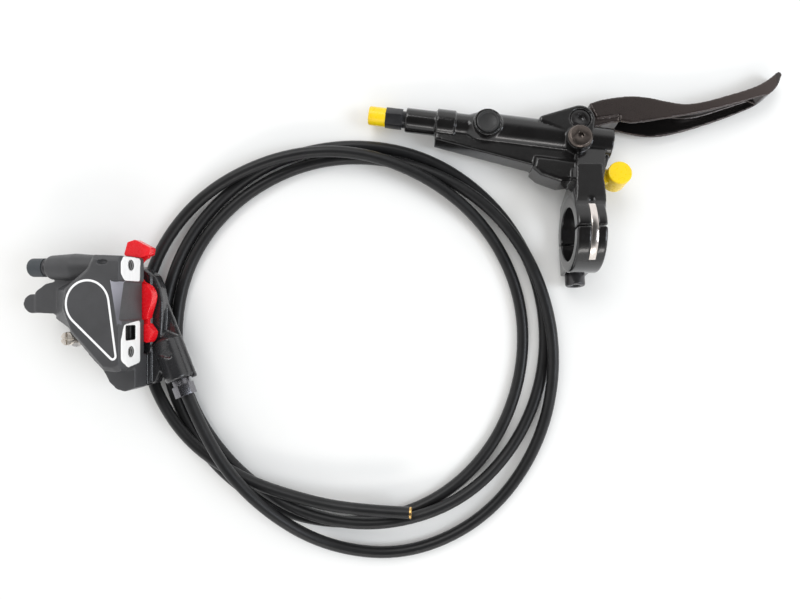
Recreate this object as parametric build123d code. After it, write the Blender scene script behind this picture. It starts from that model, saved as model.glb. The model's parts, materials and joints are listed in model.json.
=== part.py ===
from build123d import *
import os
from math import cos, radians, sin, tan

# A hydraulic disc brake for the rear of a bicycle, as it lies on a table before it is fitted.
# It has a right-hand lever for a flat bar, a flat mount caliper and the hose between them,
# which is joined to the caliper only. Millimetres, +X to the right, +Y away, +Z up.

# Clearances and small common values
FIT = 0.03
SLIDE = 0.06
SEAM = 0.02

# How the lever lies: its bar axis is level, and its front edge is tipped down to the table
LEVER_X, LEVER_Y, BAR_HEIGHT = 70.3, -1.3, 18.4
LEVER_TIP = 11.5
# How the caliper lies: its mounting face is tipped up on the hose that passes below it
CALIPER_X, CALIPER_Y, DISC_HEIGHT = -108.9, -31.8, 21.0
CALIPER_TIP = 9.0

# Master cylinder, along its own axis from the hose port to the open end
PORT_X, PORT_Y = -73.2, 51.5
BARREL_YAW = 7.57
BARREL_LENGTH = 88.1
BARREL_R = 7.2
PORT_R = 5.2
PORT_LENGTH = 13.3
COLLAR_R, COLLAR_END = 6.4, 21.2
NECK_R, NECK_END, BARREL_START = 5.6, 27.0, 31.0
BORE_R = 4.8
BORE_START = 33.0
PORT_THREAD_R = 3.6
PORT_DEPTH = 11.0
FLUID_R = 0.9
PLUG_S, PLUG_R, PLUG_DEPTH = 34.8, 4.9, 2.2
BLEED_S, BLEED_T = 73.2, -2.3
BLEED_HEAD_R, BLEED_HEAD, BLEED_BOSS_TOP = 5.2, 1.8, 8.2
BLEED_SHANK_R, BLEED_SHANK = 2.0, 1.5
WEDGE_TOP, WEDGE_BOTTOM = 3.2, -5.6

# Lever pivot and its fork
PIVOT_S, PIVOT_T = 73.2, 6.9
EAR_R, EAR_TOP, EAR_BOTTOM = 6.2, 7.2, -7.5
FORK = 4.7
PIN_R, PIN_HEAD_R, PIN_HEAD = 2.5, 4.3, 0.9
BUSH_WALL, BUSH_FLANGE, BUSH_FLANGE_R = 0.5, 0.3, 3.9
HUB_R = 4.4
NOSE_R, NOSE_REST = 2.4, 10.0
ARM_HALF = 2.4

# Master piston, its seals, spring and rod
PISTON_FRONT, PISTON_REAR = 51.0, 67.0
PISTON_WAIST_R = 3.2
SEAL_WIDTH = 1.6
STOP_THICKNESS, STOP_GROOVE_R, STOP_HOLE_R = 1.0, 5.5, 2.4
ROD_R = 1.6
SPRING_WIRE_R, SPRING_R, SPRING_TURNS = 0.4, 3.6, 6

# Handlebar clamp
BAR_R = 11.1
CLAMP_R = 16.0
CLAMP_WIDTH, NECK_HALF = 12.0, 5.8
SPLIT_Y, SPLIT_GAP = -0.8, 0.7
CLAMP_BOLT_INSET, CLAMP_SEAT_INSET, LUG_DROP = 1.8, 2.2, 1.7
CLAMP_BOLT_Z = CLAMP_BOLT_INSET - CLAMP_R
CLAMP_SEAT_Y = CLAMP_SEAT_INSET - CLAMP_R
LUG_BOTTOM = -CLAMP_R - LUG_DROP
CLAMP_BOLT_R, CLAMP_HEAD_R, CLAMP_HEAD = 2.5, 4.2, 5.0
LUG_REACH = 6.0
STRAP_WIDTH, STRAP_THICKNESS, STRAP_X = 2.7, 0.5, 0.8
STRAP_FROM, STRAP_TO = 56.0, 146.0

# Lever blade
BLADE_HALF, BLADE_FLANGE = 5.4, 1.5
BLADE_TIP_HALF = 3.2

# Yellow stop that keeps the lever from being pulled before the hose is joined, and the port cap
BLOCK_X, BLOCK_Y, BLOCK_R, BLOCK_HALF = 16.1, 25.4, 5.0, 5.0
BLOCK_TONGUE, BLOCK_TONGUE_WIDTH, BLOCK_TONGUE_DEPTH = 2.4, 6.0, 5.0
HOSE_NUT_R, HOSE_NUT_LENGTH, HOSE_NUT_START = 4.4, 7.2, -8.6
CAP_R, CAP_LENGTH = 4.0, 7.4

# Caliper, in its own axes: x away from the bike's frame to the mount, y along the mount holes,
# z along the wheel's axle, with the disc at z = 0
MOUNT_SPACING = 34.0
MOUNT_HOLE_R, MOUNT_HOLE_DEPTH, MOUNT_Z = 2.1, 9.0, 12.0
MOUNT_PAD, MOUNT_DISH = 0.5, 1.2
OUTER_TOP, INNER_BOTTOM, SHELF_TOP = 20.0, -13.8, -3.4
SLOT_HALF = 2.4
HOUSING_X, HOUSING_Y, HOUSING_WALL = -14.0, 2.0, 3.1
ARM_X, ARM_Y, ARM_R = -46.4, 1.8, 3.9
LOBE_X, LOBE_Y = -5.2, -27.6
BODY_BOLT_R, BODY_HEAD_R, BODY_HEAD = 2.5, 3.9, 4.35
WHEEL_PISTON_R, WHEEL_PISTON = 10.5, 6.4
PISTON_BORE_END = 12.0
PAD_R = 11.6
BACKING, LINING = 1.8, 2.1
LINING_REST = 1.3
AXLE_X, AXLE_Y, AXLE_R, AXLE_HEAD_R = -29.0, -12.3, 1.9, 2.7
BLEED_X, BLEED_Y, BLEED_Z, BLEED_R = -38.3, 16.5, 8.4, 4.9
NIPPLE_FLANGE, NIPPLE_END, NIPPLE_CAP_END, NIPPLE_CAP_R = 1.6, -3.6, -8.3, 3.8
SPACER_HALF, SPACER_RIM_HALF = 0.8, 2.1

# Hose and its joint on the caliper
HOSE_R = 2.5
HOSE_BORE_R = 1.1
HOSE_ANGLE = -68.0
HOSE_EXIT_X, HOSE_EXIT_Y, HOSE_EXIT_Z = 13.2, -37.3, -7.4
HOSE_INSIDE = 15.0
UNION_R, UNION_LENGTH, UNION_HEX, UNION_NUT = 6.0, 17.0, 9.0, 7.2
UNION_HEX_LENGTH, UNION_NECK, OLIVE = 4.8, 4.6, 3.2
HOSE_INSERT = 0.9
UNION_THREAD_R = 4.2

# The hose lies in loose loops about this centre: angle, radius and height of each point
COIL_X, COIL_Y = -25.1, -49.7
HOSE_LOOPS = [
    (214, 75.0, 16.0), (238, 77.5, 13.8), (262, 88.0, 4.5), (285, 94.5, 2.5), (309, 95.0, 2.5),
    (334, 92.0, 3.0), (0, 88.0, 7.8), (26, 86.5, 8.0), (50, 86.0, 7.7), (75, 85.5, 3.6),
    (101, 85.5, 2.5), (127, 84.5, 2.5), (152, 83.5, 2.5), (178, 80.5, 2.5), (203, 77.0, 2.5),
    (229, 75.5, 2.7), (254, 75.0, 8.6), (279, 77.5, 9.0), (305, 81.5, 6.2), (330, 83.5, 2.5),
    (355, 85.0, 2.5), (20, 87.0, 2.5), (45, 89.0, 2.5), (70, 91.0, 2.5), (95, 91.0, 2.5),
    (120, 91.0, 2.5), (146, 89.5, 2.5), (171, 87.0, 2.5), (196, 83.5, 2.5), (221, 81.5, 2.5),
    (247, 80.0, 2.5), (272, 78.0, 2.5), (298, 77.0, 2.5), (324, 75.5, 2.5), (351, 75.0, 2.5),
    (17, 77.0, 2.5), (42, 79.0, 4.4), (66, 81.0, 9.6), (90, 86.5, 8.4), (113, 90.5, 9.0),
    (137, 96.0, 4.8), (160, 98.0, 2.5), (183, 94.0, 2.5), (205, 84.5, 8.2), (227, 75.0, 8.5),
    (248, 68.5, 9.8), (269, 68.5, 11.0), (289, 73.0, 13.2),
]

# Frames of the two halves of the set
LEVER = Pos(LEVER_X, LEVER_Y, BAR_HEIGHT) * Rot(-LEVER_TIP, 0, 0)
BARREL = Pos(PORT_X, PORT_Y, 0) * Rot(0, 0, -BARREL_YAW)
CALIPER = Pos(CALIPER_X, CALIPER_Y, DISC_HEIGHT) * Rot(0, -CALIPER_TIP, 0)
PIVOT = BARREL * Pos(PIVOT_S, PIVOT_T, 0)


def turned(*points):
    """Turns a profile of (place along X, radius) points about the X axis."""
    outline = Polyline(*[(x, r) for x, r in points], close=True)
    return revolve(make_face(outline), Axis.X)


def rod(start, end, radius, inner=0.0):
    """A round bar or tube along X."""
    bar = Pos((start + end) / 2, 0, 0) * Rot(0, 90, 0) * Cylinder(radius, end - start)
    if inner:
        bar -= Pos((start + end) / 2, 0, 0) * Rot(0, 90, 0) * Cylinder(inner, end - start)
    return bar


def post(radius, bottom, top, inner=0.0):
    """A round bar or tube along Z."""
    bar = Pos(0, 0, (bottom + top) / 2) * Cylinder(radius, top - bottom)
    if inner:
        bar -= Pos(0, 0, (bottom + top) / 2) * Cylinder(inner, top - bottom)
    return bar


def block(x, y, z):
    """A box from its three (low, high) ranges."""
    sizes = [high - low for low, high in (x, y, z)]
    centre = [(low + high) / 2 for low, high in (x, y, z)]
    return Pos(*centre) * Box(*sizes)


def plate(points, bottom, top, corner=0.0):
    """A flat piece with a polygon outline, its corners rounded."""
    face = make_face(Polyline(*points, close=True))
    if corner:
        face = fillet(face.vertices(), corner)
    return Pos(0, 0, bottom) * extrude(face, top - bottom)


def hexagon_socket(across, depth):
    """The space of a hexagon key's socket, downward from z = 0."""
    return Pos(0, 0, -depth) * extrude(RegularPolygon(across / 2, 6, major_radius=False), depth)


# Lever and master cylinder

def barrel_outside():
    """The turned outside of the cylinder, with its port, collar and neck."""
    return turned(
        (0, 0), (0, PORT_R - 0.4), (0.4, PORT_R), (PORT_LENGTH, PORT_R), (PORT_LENGTH, COLLAR_R),
        (COLLAR_END, COLLAR_R), (COLLAR_END, NECK_R), (NECK_END, NECK_R), (BARREL_START, BARREL_R),
        (BARREL_LENGTH, BARREL_R), (BARREL_LENGTH, 0),
    )


def reservoir_wedge():
    """The reservoir that runs along the bar side of the cylinder and widens to the clamp."""
    edge = [
        (PORT_LENGTH + 0.2, 0), (PORT_LENGTH + 0.2, -8.4), (57.9, -14.9), (70.0, -17.0),
        (85.6, -15.4), (86.4, -12.4), (87.6, -7.0), (87.6, 0),
    ]
    wedge = plate(edge, WEDGE_BOTTOM, WEDGE_TOP)
    return chamfer(wedge.edges().group_by(Axis.Z)[-1], 0.5)


def reservoir_boss():
    """The bevelled boss beside the clamp's neck."""
    edge = [(56.4, -11.0), (55.8, -16.4), (59.4, -19.0), (68.0, -21.0), (75.0, -19.0), (75.0, -11.0)]
    boss = plate(edge, WEDGE_BOTTOM - 0.8, WEDGE_TOP + 1.6)
    return chamfer(boss.edges().group_by(Axis.Z)[-1], 1.0)


def pivot_fork():
    """The two ears that carry the lever, with their tail along the cylinder."""
    ear = Pos(PIVOT_S, PIVOT_T) * Circle(EAR_R)
    tail = Pos(PIVOT_S - 15.5, BARREL_R - 2.4) * Circle(1.6)
    root = Pos(PIVOT_S + 3.0, 1.0) * Circle(3.0)
    outline = make_hull(ear.edges() + tail.edges() + root.edges())
    fork = Pos(0, 0, EAR_BOTTOM) * extrude(outline, EAR_TOP - EAR_BOTTOM)
    return chamfer(fork.edges().group_by(Axis.Z)[-1], 0.5)


def clamp_neck():
    """The neck from the cylinder down to the clamp, leaning with the cylinder's yaw."""
    side = [
        (1.0, CLAMP_R - 0.4), (6.0, CLAMP_R - 1.6), (28.0, 6.6), (36.0, 5.2), (36.0, -5.4),
        (26.0, -6.6), (10.0, -12.6), (1.0, 1.0 - CLAMP_R),
    ]
    above = [
        (-NECK_HALF, 1.0), (NECK_HALF, 1.0), (NECK_HALF, 15.0), (9.4, 26.0), (10.6, 36.0),
        (-1.2, 36.0), (-2.4, 26.0), (-NECK_HALF, 15.0),
    ]
    neck = Pos(-20, 0, 0) * extrude(Plane.YZ * make_face(Polyline(*side, close=True)), 40)
    return neck & plate(above, -20, 20)


def clamp_ring():
    """The whole round clamp with its bolt lug, before it is split and bored."""
    ring = rod(-CLAMP_WIDTH / 2, CLAMP_WIDTH / 2, CLAMP_R)
    ring = fillet(ring.edges().filter_by(GeomType.CIRCLE), 0.9)
    half_width = CLAMP_WIDTH / 2 - 0.6
    lug = block((-half_width, half_width), (CLAMP_SEAT_Y, LUG_REACH), (LUG_BOTTOM, -6.0))
    return ring + fillet(lug.edges().filter_by(Axis.X), 0.8)


def strap_band(inner, outer, width, start, end):
    """A band round the bar's axis between two angles, from the front over the top."""
    ring = post(outer, -width / 2, width / 2, inner)
    reach = 2 * CLAMP_R
    keep = make_face(Polyline(
        (0, 0), (reach * cos(radians(start)), reach * sin(radians(start))),
        (reach * cos(radians((start + end) / 2)), reach * sin(radians((start + end) / 2))),
        (reach * cos(radians(end)), reach * sin(radians(end))), close=True,
    ))
    sector = ring & (Pos(0, 0, -width) * extrude(keep, 2 * width))
    return Pos(STRAP_X, 0, 0) * Plane.YZ.location * sector


def strap_groove():
    """The groove in which the strap lies, with room at its sides and ends."""
    return strap_band(
        CLAMP_R - STRAP_THICKNESS, CLAMP_R + 4.0, STRAP_WIDTH + 0.3, STRAP_FROM - 6.0, STRAP_TO + 1.0,
    )


def clamp_bolt_place():
    """The seat of the clamp bolt's head, its axis along the head's way out."""
    return Pos(0, CLAMP_SEAT_Y, CLAMP_BOLT_Z) * Rot(90, 0, 0)


def lever_body():
    """The cast body: cylinder, reservoir, fork, neck and the fixed half of the clamp."""
    body = barrel_outside() + reservoir_wedge() + reservoir_boss() + pivot_fork()
    body += Pos(BLEED_S, BLEED_T, 0) * post(BLEED_HEAD_R, 0, BLEED_BOSS_TOP)
    body += Pos(PLUG_S, 0, 0) * post(PLUG_R + 1.1, 0, BARREL_R + 0.7)
    body = BARREL * body + clamp_neck()
    half = block((-CLAMP_WIDTH, CLAMP_WIDTH), (SPLIT_Y, 2 * CLAMP_R), (-2 * CLAMP_R, 2 * CLAMP_R))
    body += clamp_ring() & half
    wide = 2 * CLAMP_WIDTH
    body -= block((-wide, wide), (-2 * CLAMP_R, SPLIT_Y), (-2 * CLAMP_R, 2 * CLAMP_R))
    body -= rod(-wide, wide, BAR_R)
    body -= strap_groove()
    thread = post(CLAMP_BOLT_R, -1, LUG_REACH - SPLIT_Y + 1)
    body -= Pos(0, LUG_REACH, CLAMP_BOLT_Z) * Rot(90, 0, 0) * thread
    return body - BARREL * lever_hollows() - tongue_socket()


def lever_hollows():
    """Bore, port, passage, fork slot, pin hole, plug seat and bleed hole, along the cylinder."""
    bore = rod(BORE_START, BARREL_LENGTH + 1, BORE_R)
    bore += rod(stop_start(), stop_start() + STOP_THICKNESS + SEAM, STOP_GROOVE_R)
    bore += rod(PORT_DEPTH - 1, BORE_START + 1, FLUID_R)
    bore += turned(
        (-1, 0), (-1, PORT_THREAD_R), (PORT_DEPTH - 3, PORT_THREAD_R), (PORT_DEPTH, FLUID_R), (PORT_DEPTH, 0),
    )
    fork = block((PIVOT_S - 5.4, BARREL_LENGTH + 5), (0, 30), (-FORK, FORK))
    fork += Pos(PIVOT_S, PIVOT_T, 0) * post(EAR_R + 2.0, -FORK, FORK)
    pin = Pos(PIVOT_S, PIVOT_T, 0) * post(PIN_R + FIT, EAR_BOTTOM - 1, EAR_TOP + 1)
    pin += Pos(PIVOT_S, PIVOT_T, 0) * post(PIN_HEAD_R + 0.1, EAR_TOP - 1.4, EAR_TOP + 1)
    plug = Pos(PLUG_S, 0, 0) * post(PLUG_R, BARREL_R + 0.7 - PLUG_DEPTH, BARREL_R + 2)
    plug += Pos(PLUG_S, 0, 0) * post(FLUID_R, 0, BARREL_R)
    seat = BLEED_BOSS_TOP - BLEED_SHANK - 0.4
    bleed = Pos(BLEED_S, BLEED_T, 0) * post(BLEED_SHANK_R, seat, BLEED_BOSS_TOP + 1)
    return bore + fork + pin + plug + bleed


def tongue_socket():
    """The slot in the open end's side that takes the tongue of the yellow stop."""
    return block(
        (BLOCK_X - BLOCK_R - BLOCK_TONGUE_DEPTH, BLOCK_X),
        (BLOCK_Y - BLOCK_TONGUE_WIDTH / 2 - 0.1, BLOCK_Y + BLOCK_TONGUE_WIDTH / 2 + 0.1),
        (-BLOCK_TONGUE / 2 - 0.1, BLOCK_TONGUE / 2 + 0.1),
    )


def stop_start():
    """Where the stop washer stands, behind the piston at rest."""
    return PISTON_REAR + 0.1


def clamp_cap():
    """The loose half of the handlebar clamp."""
    top = SPLIT_Y - SPLIT_GAP
    half = block((-CLAMP_WIDTH, CLAMP_WIDTH), (-2 * CLAMP_R, top), (-2 * CLAMP_R, 2 * CLAMP_R))
    cap = clamp_ring() & half
    cap -= rod(-CLAMP_WIDTH, CLAMP_WIDTH, BAR_R)
    cap -= clamp_bolt_place() * post(CLAMP_BOLT_R + SLIDE, CLAMP_SEAT_Y * 2, 1)
    return cap - strap_groove()


def clamp_bolt():
    """The socket head screw that draws the clamp's halves together."""
    head = post(CLAMP_HEAD_R, 0, CLAMP_HEAD)
    head = fillet(head.edges().group_by(Axis.Z)[-1], 0.8)
    head -= Pos(0, 0, CLAMP_HEAD) * hexagon_socket(4.0, 2.6)
    reach = LUG_REACH - CLAMP_SEAT_Y - 1.0
    return clamp_bolt_place() * (head + post(CLAMP_BOLT_R - FIT, -reach, 0))


def clamp_strap():
    """The spring steel strap that joins the clamp's halves over the top."""
    inner = CLAMP_R - STRAP_THICKNESS + SEAM
    return strap_band(inner, CLAMP_R + SEAM, STRAP_WIDTH, STRAP_FROM, STRAP_TO)


def blade_outline():
    """The blade seen from above, in the lever's axes: front edge, tip and back edge."""
    front = Spline(
        (5.0, 56.6), (17.0, 59.5), (27.6, 59.7), (45.0, 56.4), (64.2, 60.4), (78.2, 65.5), (87.4, 72.0),
    )
    tip = ThreePointArc((87.4, 72.0), (89.2, 71.9), (89.0, 69.9))
    back = Spline(
        (89.0, 69.9), (85.6, 64.0), (74.6, 57.5), (50.0, 48.8), (32.0, 45.8), (22.0, 47.6), (8.0, 49.6),
    )
    heel = Line((8.0, 49.6), (5.0, 56.6))
    return make_face(Curve() + [front, tip, back, heel])


def blade_channel():
    """The hollow of the blade, open to the bar, seen from above."""
    front = Spline((15.5, 56.6), (22.0, 57.8), (30.0, 57.6), (45.0, 54.4), (64.2, 58.3), (77.0, 62.6))
    edge = Polyline((77.0, 62.6), (80.5, 61.0), (80.5, 30.0), (15.5, 30.0), (15.5, 56.6))
    return make_face(Curve() + [front, edge])


def blade_top_cut():
    """What the upper flange leaves open, so that the lower flange shows beyond it."""
    edge = Spline((13.0, 47.8), (22.0, 47.6), (35.0, 49.4), (52.3, 52.6), (63.5, 55.5), (77.2, 59.8))
    rest = Polyline((77.2, 59.8), (84.0, 61.6), (84.0, 30.0), (13.0, 30.0), (13.0, 47.8))
    return make_face(Curve() + [edge, rest])


def blade_side():
    """The blade seen from the front: deep along the fingers, shallow at the tip."""
    top = Spline((-10, BLADE_HALF), (56, BLADE_HALF), (78, BLADE_HALF - 0.8), (94, BLADE_TIP_HALF))
    end = Line((94, BLADE_TIP_HALF), (94, -BLADE_TIP_HALF))
    low = Spline((94, -BLADE_TIP_HALF), (78, -BLADE_HALF + 0.8), (56, -BLADE_HALF), (-10, -BLADE_HALF))
    close = Line((-10, -BLADE_HALF), (-10, BLADE_HALF))
    face = Plane.XZ * make_face(Curve() + [top, end, low, close])
    return Pos(0, 120, 0) * extrude(face, 120)


def lever_blade():
    """The finger lever: a channel with a solid tip, a hub in the fork and an arm with a nose."""
    blade = Pos(0, 0, -BLADE_HALF) * extrude(blade_outline(), 2 * BLADE_HALF)
    blade &= blade_side()
    inside = BLADE_HALF - BLADE_FLANGE
    blade -= Pos(0, 0, -inside) * extrude(blade_channel(), 2 * inside)
    blade -= Pos(0, 0, -inside) * extrude(blade_top_cut(), 4 * BLADE_HALF)
    guard = post(EAR_R + 0.7, -20, 20)
    guard += plate([(0, 0), (17.0, 4.9), (17.0, -30), (0, -30)], -20, 20)
    blade -= PIVOT * guard
    hub_half = FORK - BUSH_FLANGE - 0.1
    hub = PIVOT * post(HUB_R, -hub_half, hub_half)
    web = [(1.3, 44.6), (14.0, 48.2), (17.6, 48.6), (17.6, 57.2), (10.0, 57.0), (0.6, 52.9)]
    hub += plate(web, -hub_half, hub_half)
    arm = plate([(-2.2, 0), (-1.6, -PIVOT_T), (1.9, -PIVOT_T), (2.2, 0)], -ARM_HALF, ARM_HALF)
    arm += Pos(0, -PIVOT_T, 0) * post(NOSE_R, -ARM_HALF, ARM_HALF)
    blade += hub + PIVOT * Rot(0, 0, NOSE_REST) * arm
    return blade - PIVOT * post(PIN_R + BUSH_WALL, -20, 20)


def pivot_bush(side):
    """A flanged plain bearing pressed into the hub, on one side."""
    hub_half = FORK - BUSH_FLANGE - 0.1
    bush = post(PIN_R + BUSH_WALL, 0.2, hub_half) + post(BUSH_FLANGE_R, hub_half, hub_half + BUSH_FLANGE)
    bush -= post(PIN_R + FIT, -1, hub_half + 1)
    return PIVOT * (bush if side > 0 else Rot(180, 0, 0) * bush)


def pivot_pin():
    """The pin through both ears and the hub."""
    seat = EAR_TOP - 1.4
    head = chamfer(post(PIN_HEAD_R, seat, seat + PIN_HEAD).edges().group_by(Axis.Z)[-1], 0.3)
    head -= Pos(0, 0, seat + PIN_HEAD) * hexagon_socket(3.0, 0.6)
    return PIVOT * (head + post(PIN_R, EAR_BOTTOM + 0.3, seat))


def master_piston():
    """The piston that the push rod drives towards the hose port."""
    waist = SEAL_WIDTH + 0.2
    r, w = BORE_R - SLIDE, PISTON_WAIST_R
    front, rear = PISTON_FRONT, PISTON_REAR
    cup = rear - 3.0
    body = turned(
        (front - 3.0, 0), (front - 3.0, 1.8), (front, 1.8), (front, r), (front + 1.5, r),
        (front + 1.5, w), (front + 1.5 + waist, w), (front + 1.5 + waist, r), (front + 5.0, r),
        (front + 5.0, w), (rear - 5.0, w),
        (rear - 5.0, r), (rear - 4.5, r), (rear - 4.5, w), (rear - 4.5 + waist, w), (rear - 4.5 + waist, r),
        (rear, r), (rear, ROD_R + 0.1), (cup, ROD_R + 0.1), (cup, 0),
    )
    return BARREL * body


def piston_seal(start):
    """A rubber ring in one of the piston's grooves."""
    section = turned(
        (start, PISTON_WAIST_R), (start, BORE_R - 0.5), (start + 0.4, BORE_R - 0.02),
        (start + SEAL_WIDTH - 0.4, BORE_R - 0.02), (start + SEAL_WIDTH, BORE_R - 0.5),
        (start + SEAL_WIDTH, PISTON_WAIST_R),
    )
    return BARREL * section


def push_rod():
    """The short rod between the lever's nose and the piston."""
    end = PIVOT_S + PIVOT_T * sin(radians(NOSE_REST)) - NOSE_R - 0.05
    start = PISTON_REAR - 3.0
    body = rod(start, end - 1.2, ROD_R) + rod(end - 1.2, end, ROD_R + 0.7)
    return BARREL * body


def stop_washer():
    """The snap ring that keeps the piston in its bore."""
    start = stop_start()
    return BARREL * rod(start + SEAM / 2, start + STOP_THICKNESS + SEAM / 2, STOP_GROOVE_R - 0.1, STOP_HOLE_R)


def return_spring():
    """The coil spring between the bore's end and the piston."""
    length = PISTON_FRONT - BORE_START - 4 * SPRING_WIRE_R
    path = Helix(length / SPRING_TURNS, length, SPRING_R)
    wire = sweep(Plane(path @ 0, z_dir=path % 0) * Circle(SPRING_WIRE_R), path, is_frenet=True)
    return BARREL * Pos(BORE_START + 2 * SPRING_WIRE_R, 0, 0) * Rot(0, 90, 0) * wire


def reservoir_plug():
    """The flush round plug with its raised rim."""
    seat = BARREL_R + 0.7 - PLUG_DEPTH
    plug = post(PLUG_R - SEAM, seat, BARREL_R + 1.2)
    plug -= post(PLUG_R - 1.1, BARREL_R + 0.8, BARREL_R + 2)
    return BARREL * Pos(PLUG_S, 0, 0) * plug


def bleed_screw():
    """The bleed screw with its wide bevelled head."""
    seat = BLEED_BOSS_TOP + 0.4
    head = post(BLEED_HEAD_R, seat, seat + BLEED_HEAD)
    head = chamfer(head.edges().group_by(Axis.Z)[-1], 0.9)
    head -= Pos(0, 0, seat + BLEED_HEAD) * hexagon_socket(2.5, 1.5)
    return BARREL * Pos(BLEED_S, BLEED_T, 0) * (head + post(BLEED_SHANK_R - FIT, seat - BLEED_SHANK, seat))


def bleed_ring():
    """The thin sealing ring under the bleed screw's head."""
    ring = post(BLEED_HEAD_R - 0.5, BLEED_BOSS_TOP, BLEED_BOSS_TOP + 0.4, BLEED_SHANK_R + 0.1)
    return BARREL * Pos(BLEED_S, BLEED_T, 0) * ring


def port_nut():
    """The hose nut that waits in the port: a hexagon with a threaded neck."""
    hexagon = extrude(RegularPolygon(HOSE_NUT_R, 6), HOSE_NUT_LENGTH)
    nut = Pos(HOSE_NUT_START, 0, 0) * Rot(0, 90, 0) * hexagon
    nut += rod(HOSE_NUT_START + HOSE_NUT_LENGTH, PORT_DEPTH - 4.0, PORT_THREAD_R - FIT)
    return BARREL * (nut - rod(-20, 20, HOSE_R + 0.1))


def port_cap():
    """The yellow cap that closes the port until the hose is joined."""
    end = HOSE_NUT_START
    cap = rod(end - CAP_LENGTH, end, CAP_R)
    cap = fillet(cap.edges().group_by(Axis.X)[0], 0.8)
    cap += rod(end, end + 9.0, HOSE_R)
    return BARREL * cap


def lever_stop():
    """The yellow stop, with the tongue that holds it in the body."""
    stop = post(BLOCK_R, -BLOCK_HALF, BLOCK_HALF)
    stop = fillet(stop.edges(), 0.6)
    stop += block(
        (-BLOCK_R - BLOCK_TONGUE_DEPTH + 0.2, 0), (-BLOCK_TONGUE_WIDTH / 2, BLOCK_TONGUE_WIDTH / 2),
        (-BLOCK_TONGUE / 2, BLOCK_TONGUE / 2),
    )
    return Pos(BLOCK_X, BLOCK_Y, 0) * stop


# Caliper

def mount_holes():
    """The two threaded holes for the frame bolts."""
    holes = Part()
    for side in (-1, 1):
        place = Pos(0, side * MOUNT_SPACING / 2, MOUNT_Z) * Rot(0, 90, 0)
        holes += place * post(MOUNT_HOLE_R, -MOUNT_HOLE_DEPTH, 1)
    return holes


def mount_pads():
    """The two machined pads that meet the frame, a little proud of the casting."""
    upper = [(10.6, 6.0), (20.0, 5.6), (20.2, 16.6), (18.0, 18.6), (13.4, 18.6), (10.8, 16.0)]
    lower = [(-5.0, 5.8), (-6.4, 16.4), (-12.0, 18.6), (-19.8, 18.6), (-22.8, 14.0), (-21.6, 5.8)]
    pads = Part()
    for edge in (upper, lower):
        face = make_face(Polyline(*edge, close=True))
        face = fillet(face.vertices(), 0.9)
        pads += Pos(-2.0, 0, 0) * extrude(Plane.YZ * face, 2.0)
    return pads


def outer_outline():
    """The outer half seen along the axle."""
    return [
        (-MOUNT_PAD, 20.4), (-12.3, 20.9), (-17.0, 16.5), (-30.0, 12.0), (-40.0, 9.9),
        (ARM_X + 1.6, 6.6), (ARM_X + 1.6, -1.9), (-34.1, -2.4), (-27.9, -10.4), (-23.4, -15.6),
        (-18.5, -21.0), (-15.0, -24.2), (-13.3, -26.4), (-11.7, -29.6), (-8.3, -32.5),
        (-5.0, -33.3), (-MOUNT_PAD, -31.8),
    ]


def caliper_outer_half():
    """The outer half, with the mount faces, the bleed boss and the outer cylinder."""
    low = plate(outer_outline(), SEAM, 9.0, 1.0)
    low += Pos(ARM_X, ARM_Y, 0) * post(ARM_R, SEAM, 8.6)
    crown = [
        (-MOUNT_PAD, 20.4), (-12.3, 20.9), (-15.2, 15.5), (-24.6, 8.0), (-26.0, 0.0), (-22.0, -9.5),
        (-8.0, -24.0), (-2.6, -24.5), (-MOUNT_PAD, -23.5),
    ]
    high = plate(crown, 9.0 - SEAM, OUTER_TOP)
    high = chamfer(high.edges().group_by(Axis.Z)[-1].sort_by(Axis.X)[:-1], 2.0)
    body = low + high + outer_skirt() + bleed_boss() + mount_pads()
    body -= plate([(1, 10.4), (-MOUNT_DISH, 10.8), (-MOUNT_DISH, -4.6), (1, -4.8)], -1.0, OUTER_TOP + 1)
    body -= facet_cut()
    body -= block((-2.4, 1), (-12.4, -6.7), (9.0, 15.8))
    body -= mount_holes() + pad_pocket(1) + fluid_hollows()
    return body


def facet_cut():
    """The bevel that falls from the top face to the dished wall between the mount pads."""
    wide = make_face(Polyline((-4.3, 20.5), (2.0, 20.5), (2.0, 10.6), close=True))
    narrow = make_face(Polyline((-1.9, 20.5), (2.0, 20.5), (2.0, 14.6), close=True))
    return loft([Plane.XZ.offset(-10.8) * wide, Plane.XZ.offset(6.2) * narrow])


def outer_skirt():
    """The sloping shoulder between the raised cylinder and the thin arm."""
    low_edge = Polyline((-14, 17.6), (-36, 7.6), (-36, -4.4), (-22, -13.6), (-12, -22), close=True)
    high_edge = Polyline((-14, 14), (-25, 7.0), (-25.4, -0.6), (-21.4, -8), (-12, -17), close=True)
    return loft([Pos(0, 0, 8.0) * make_face(low_edge), Pos(0, 0, 17.2) * make_face(high_edge)])


def bleed_boss():
    """The round boss that points away from the mount and takes the bleed nipple."""
    boss = turned(
        (0, 0), (0, 4.0), (1.2, BLEED_R), (12.0, BLEED_R + 0.7), (26.0, BLEED_R - 0.4), (26.0, 0),
    )
    return Pos(BLEED_X, BLEED_Y, BLEED_Z) * boss


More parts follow.
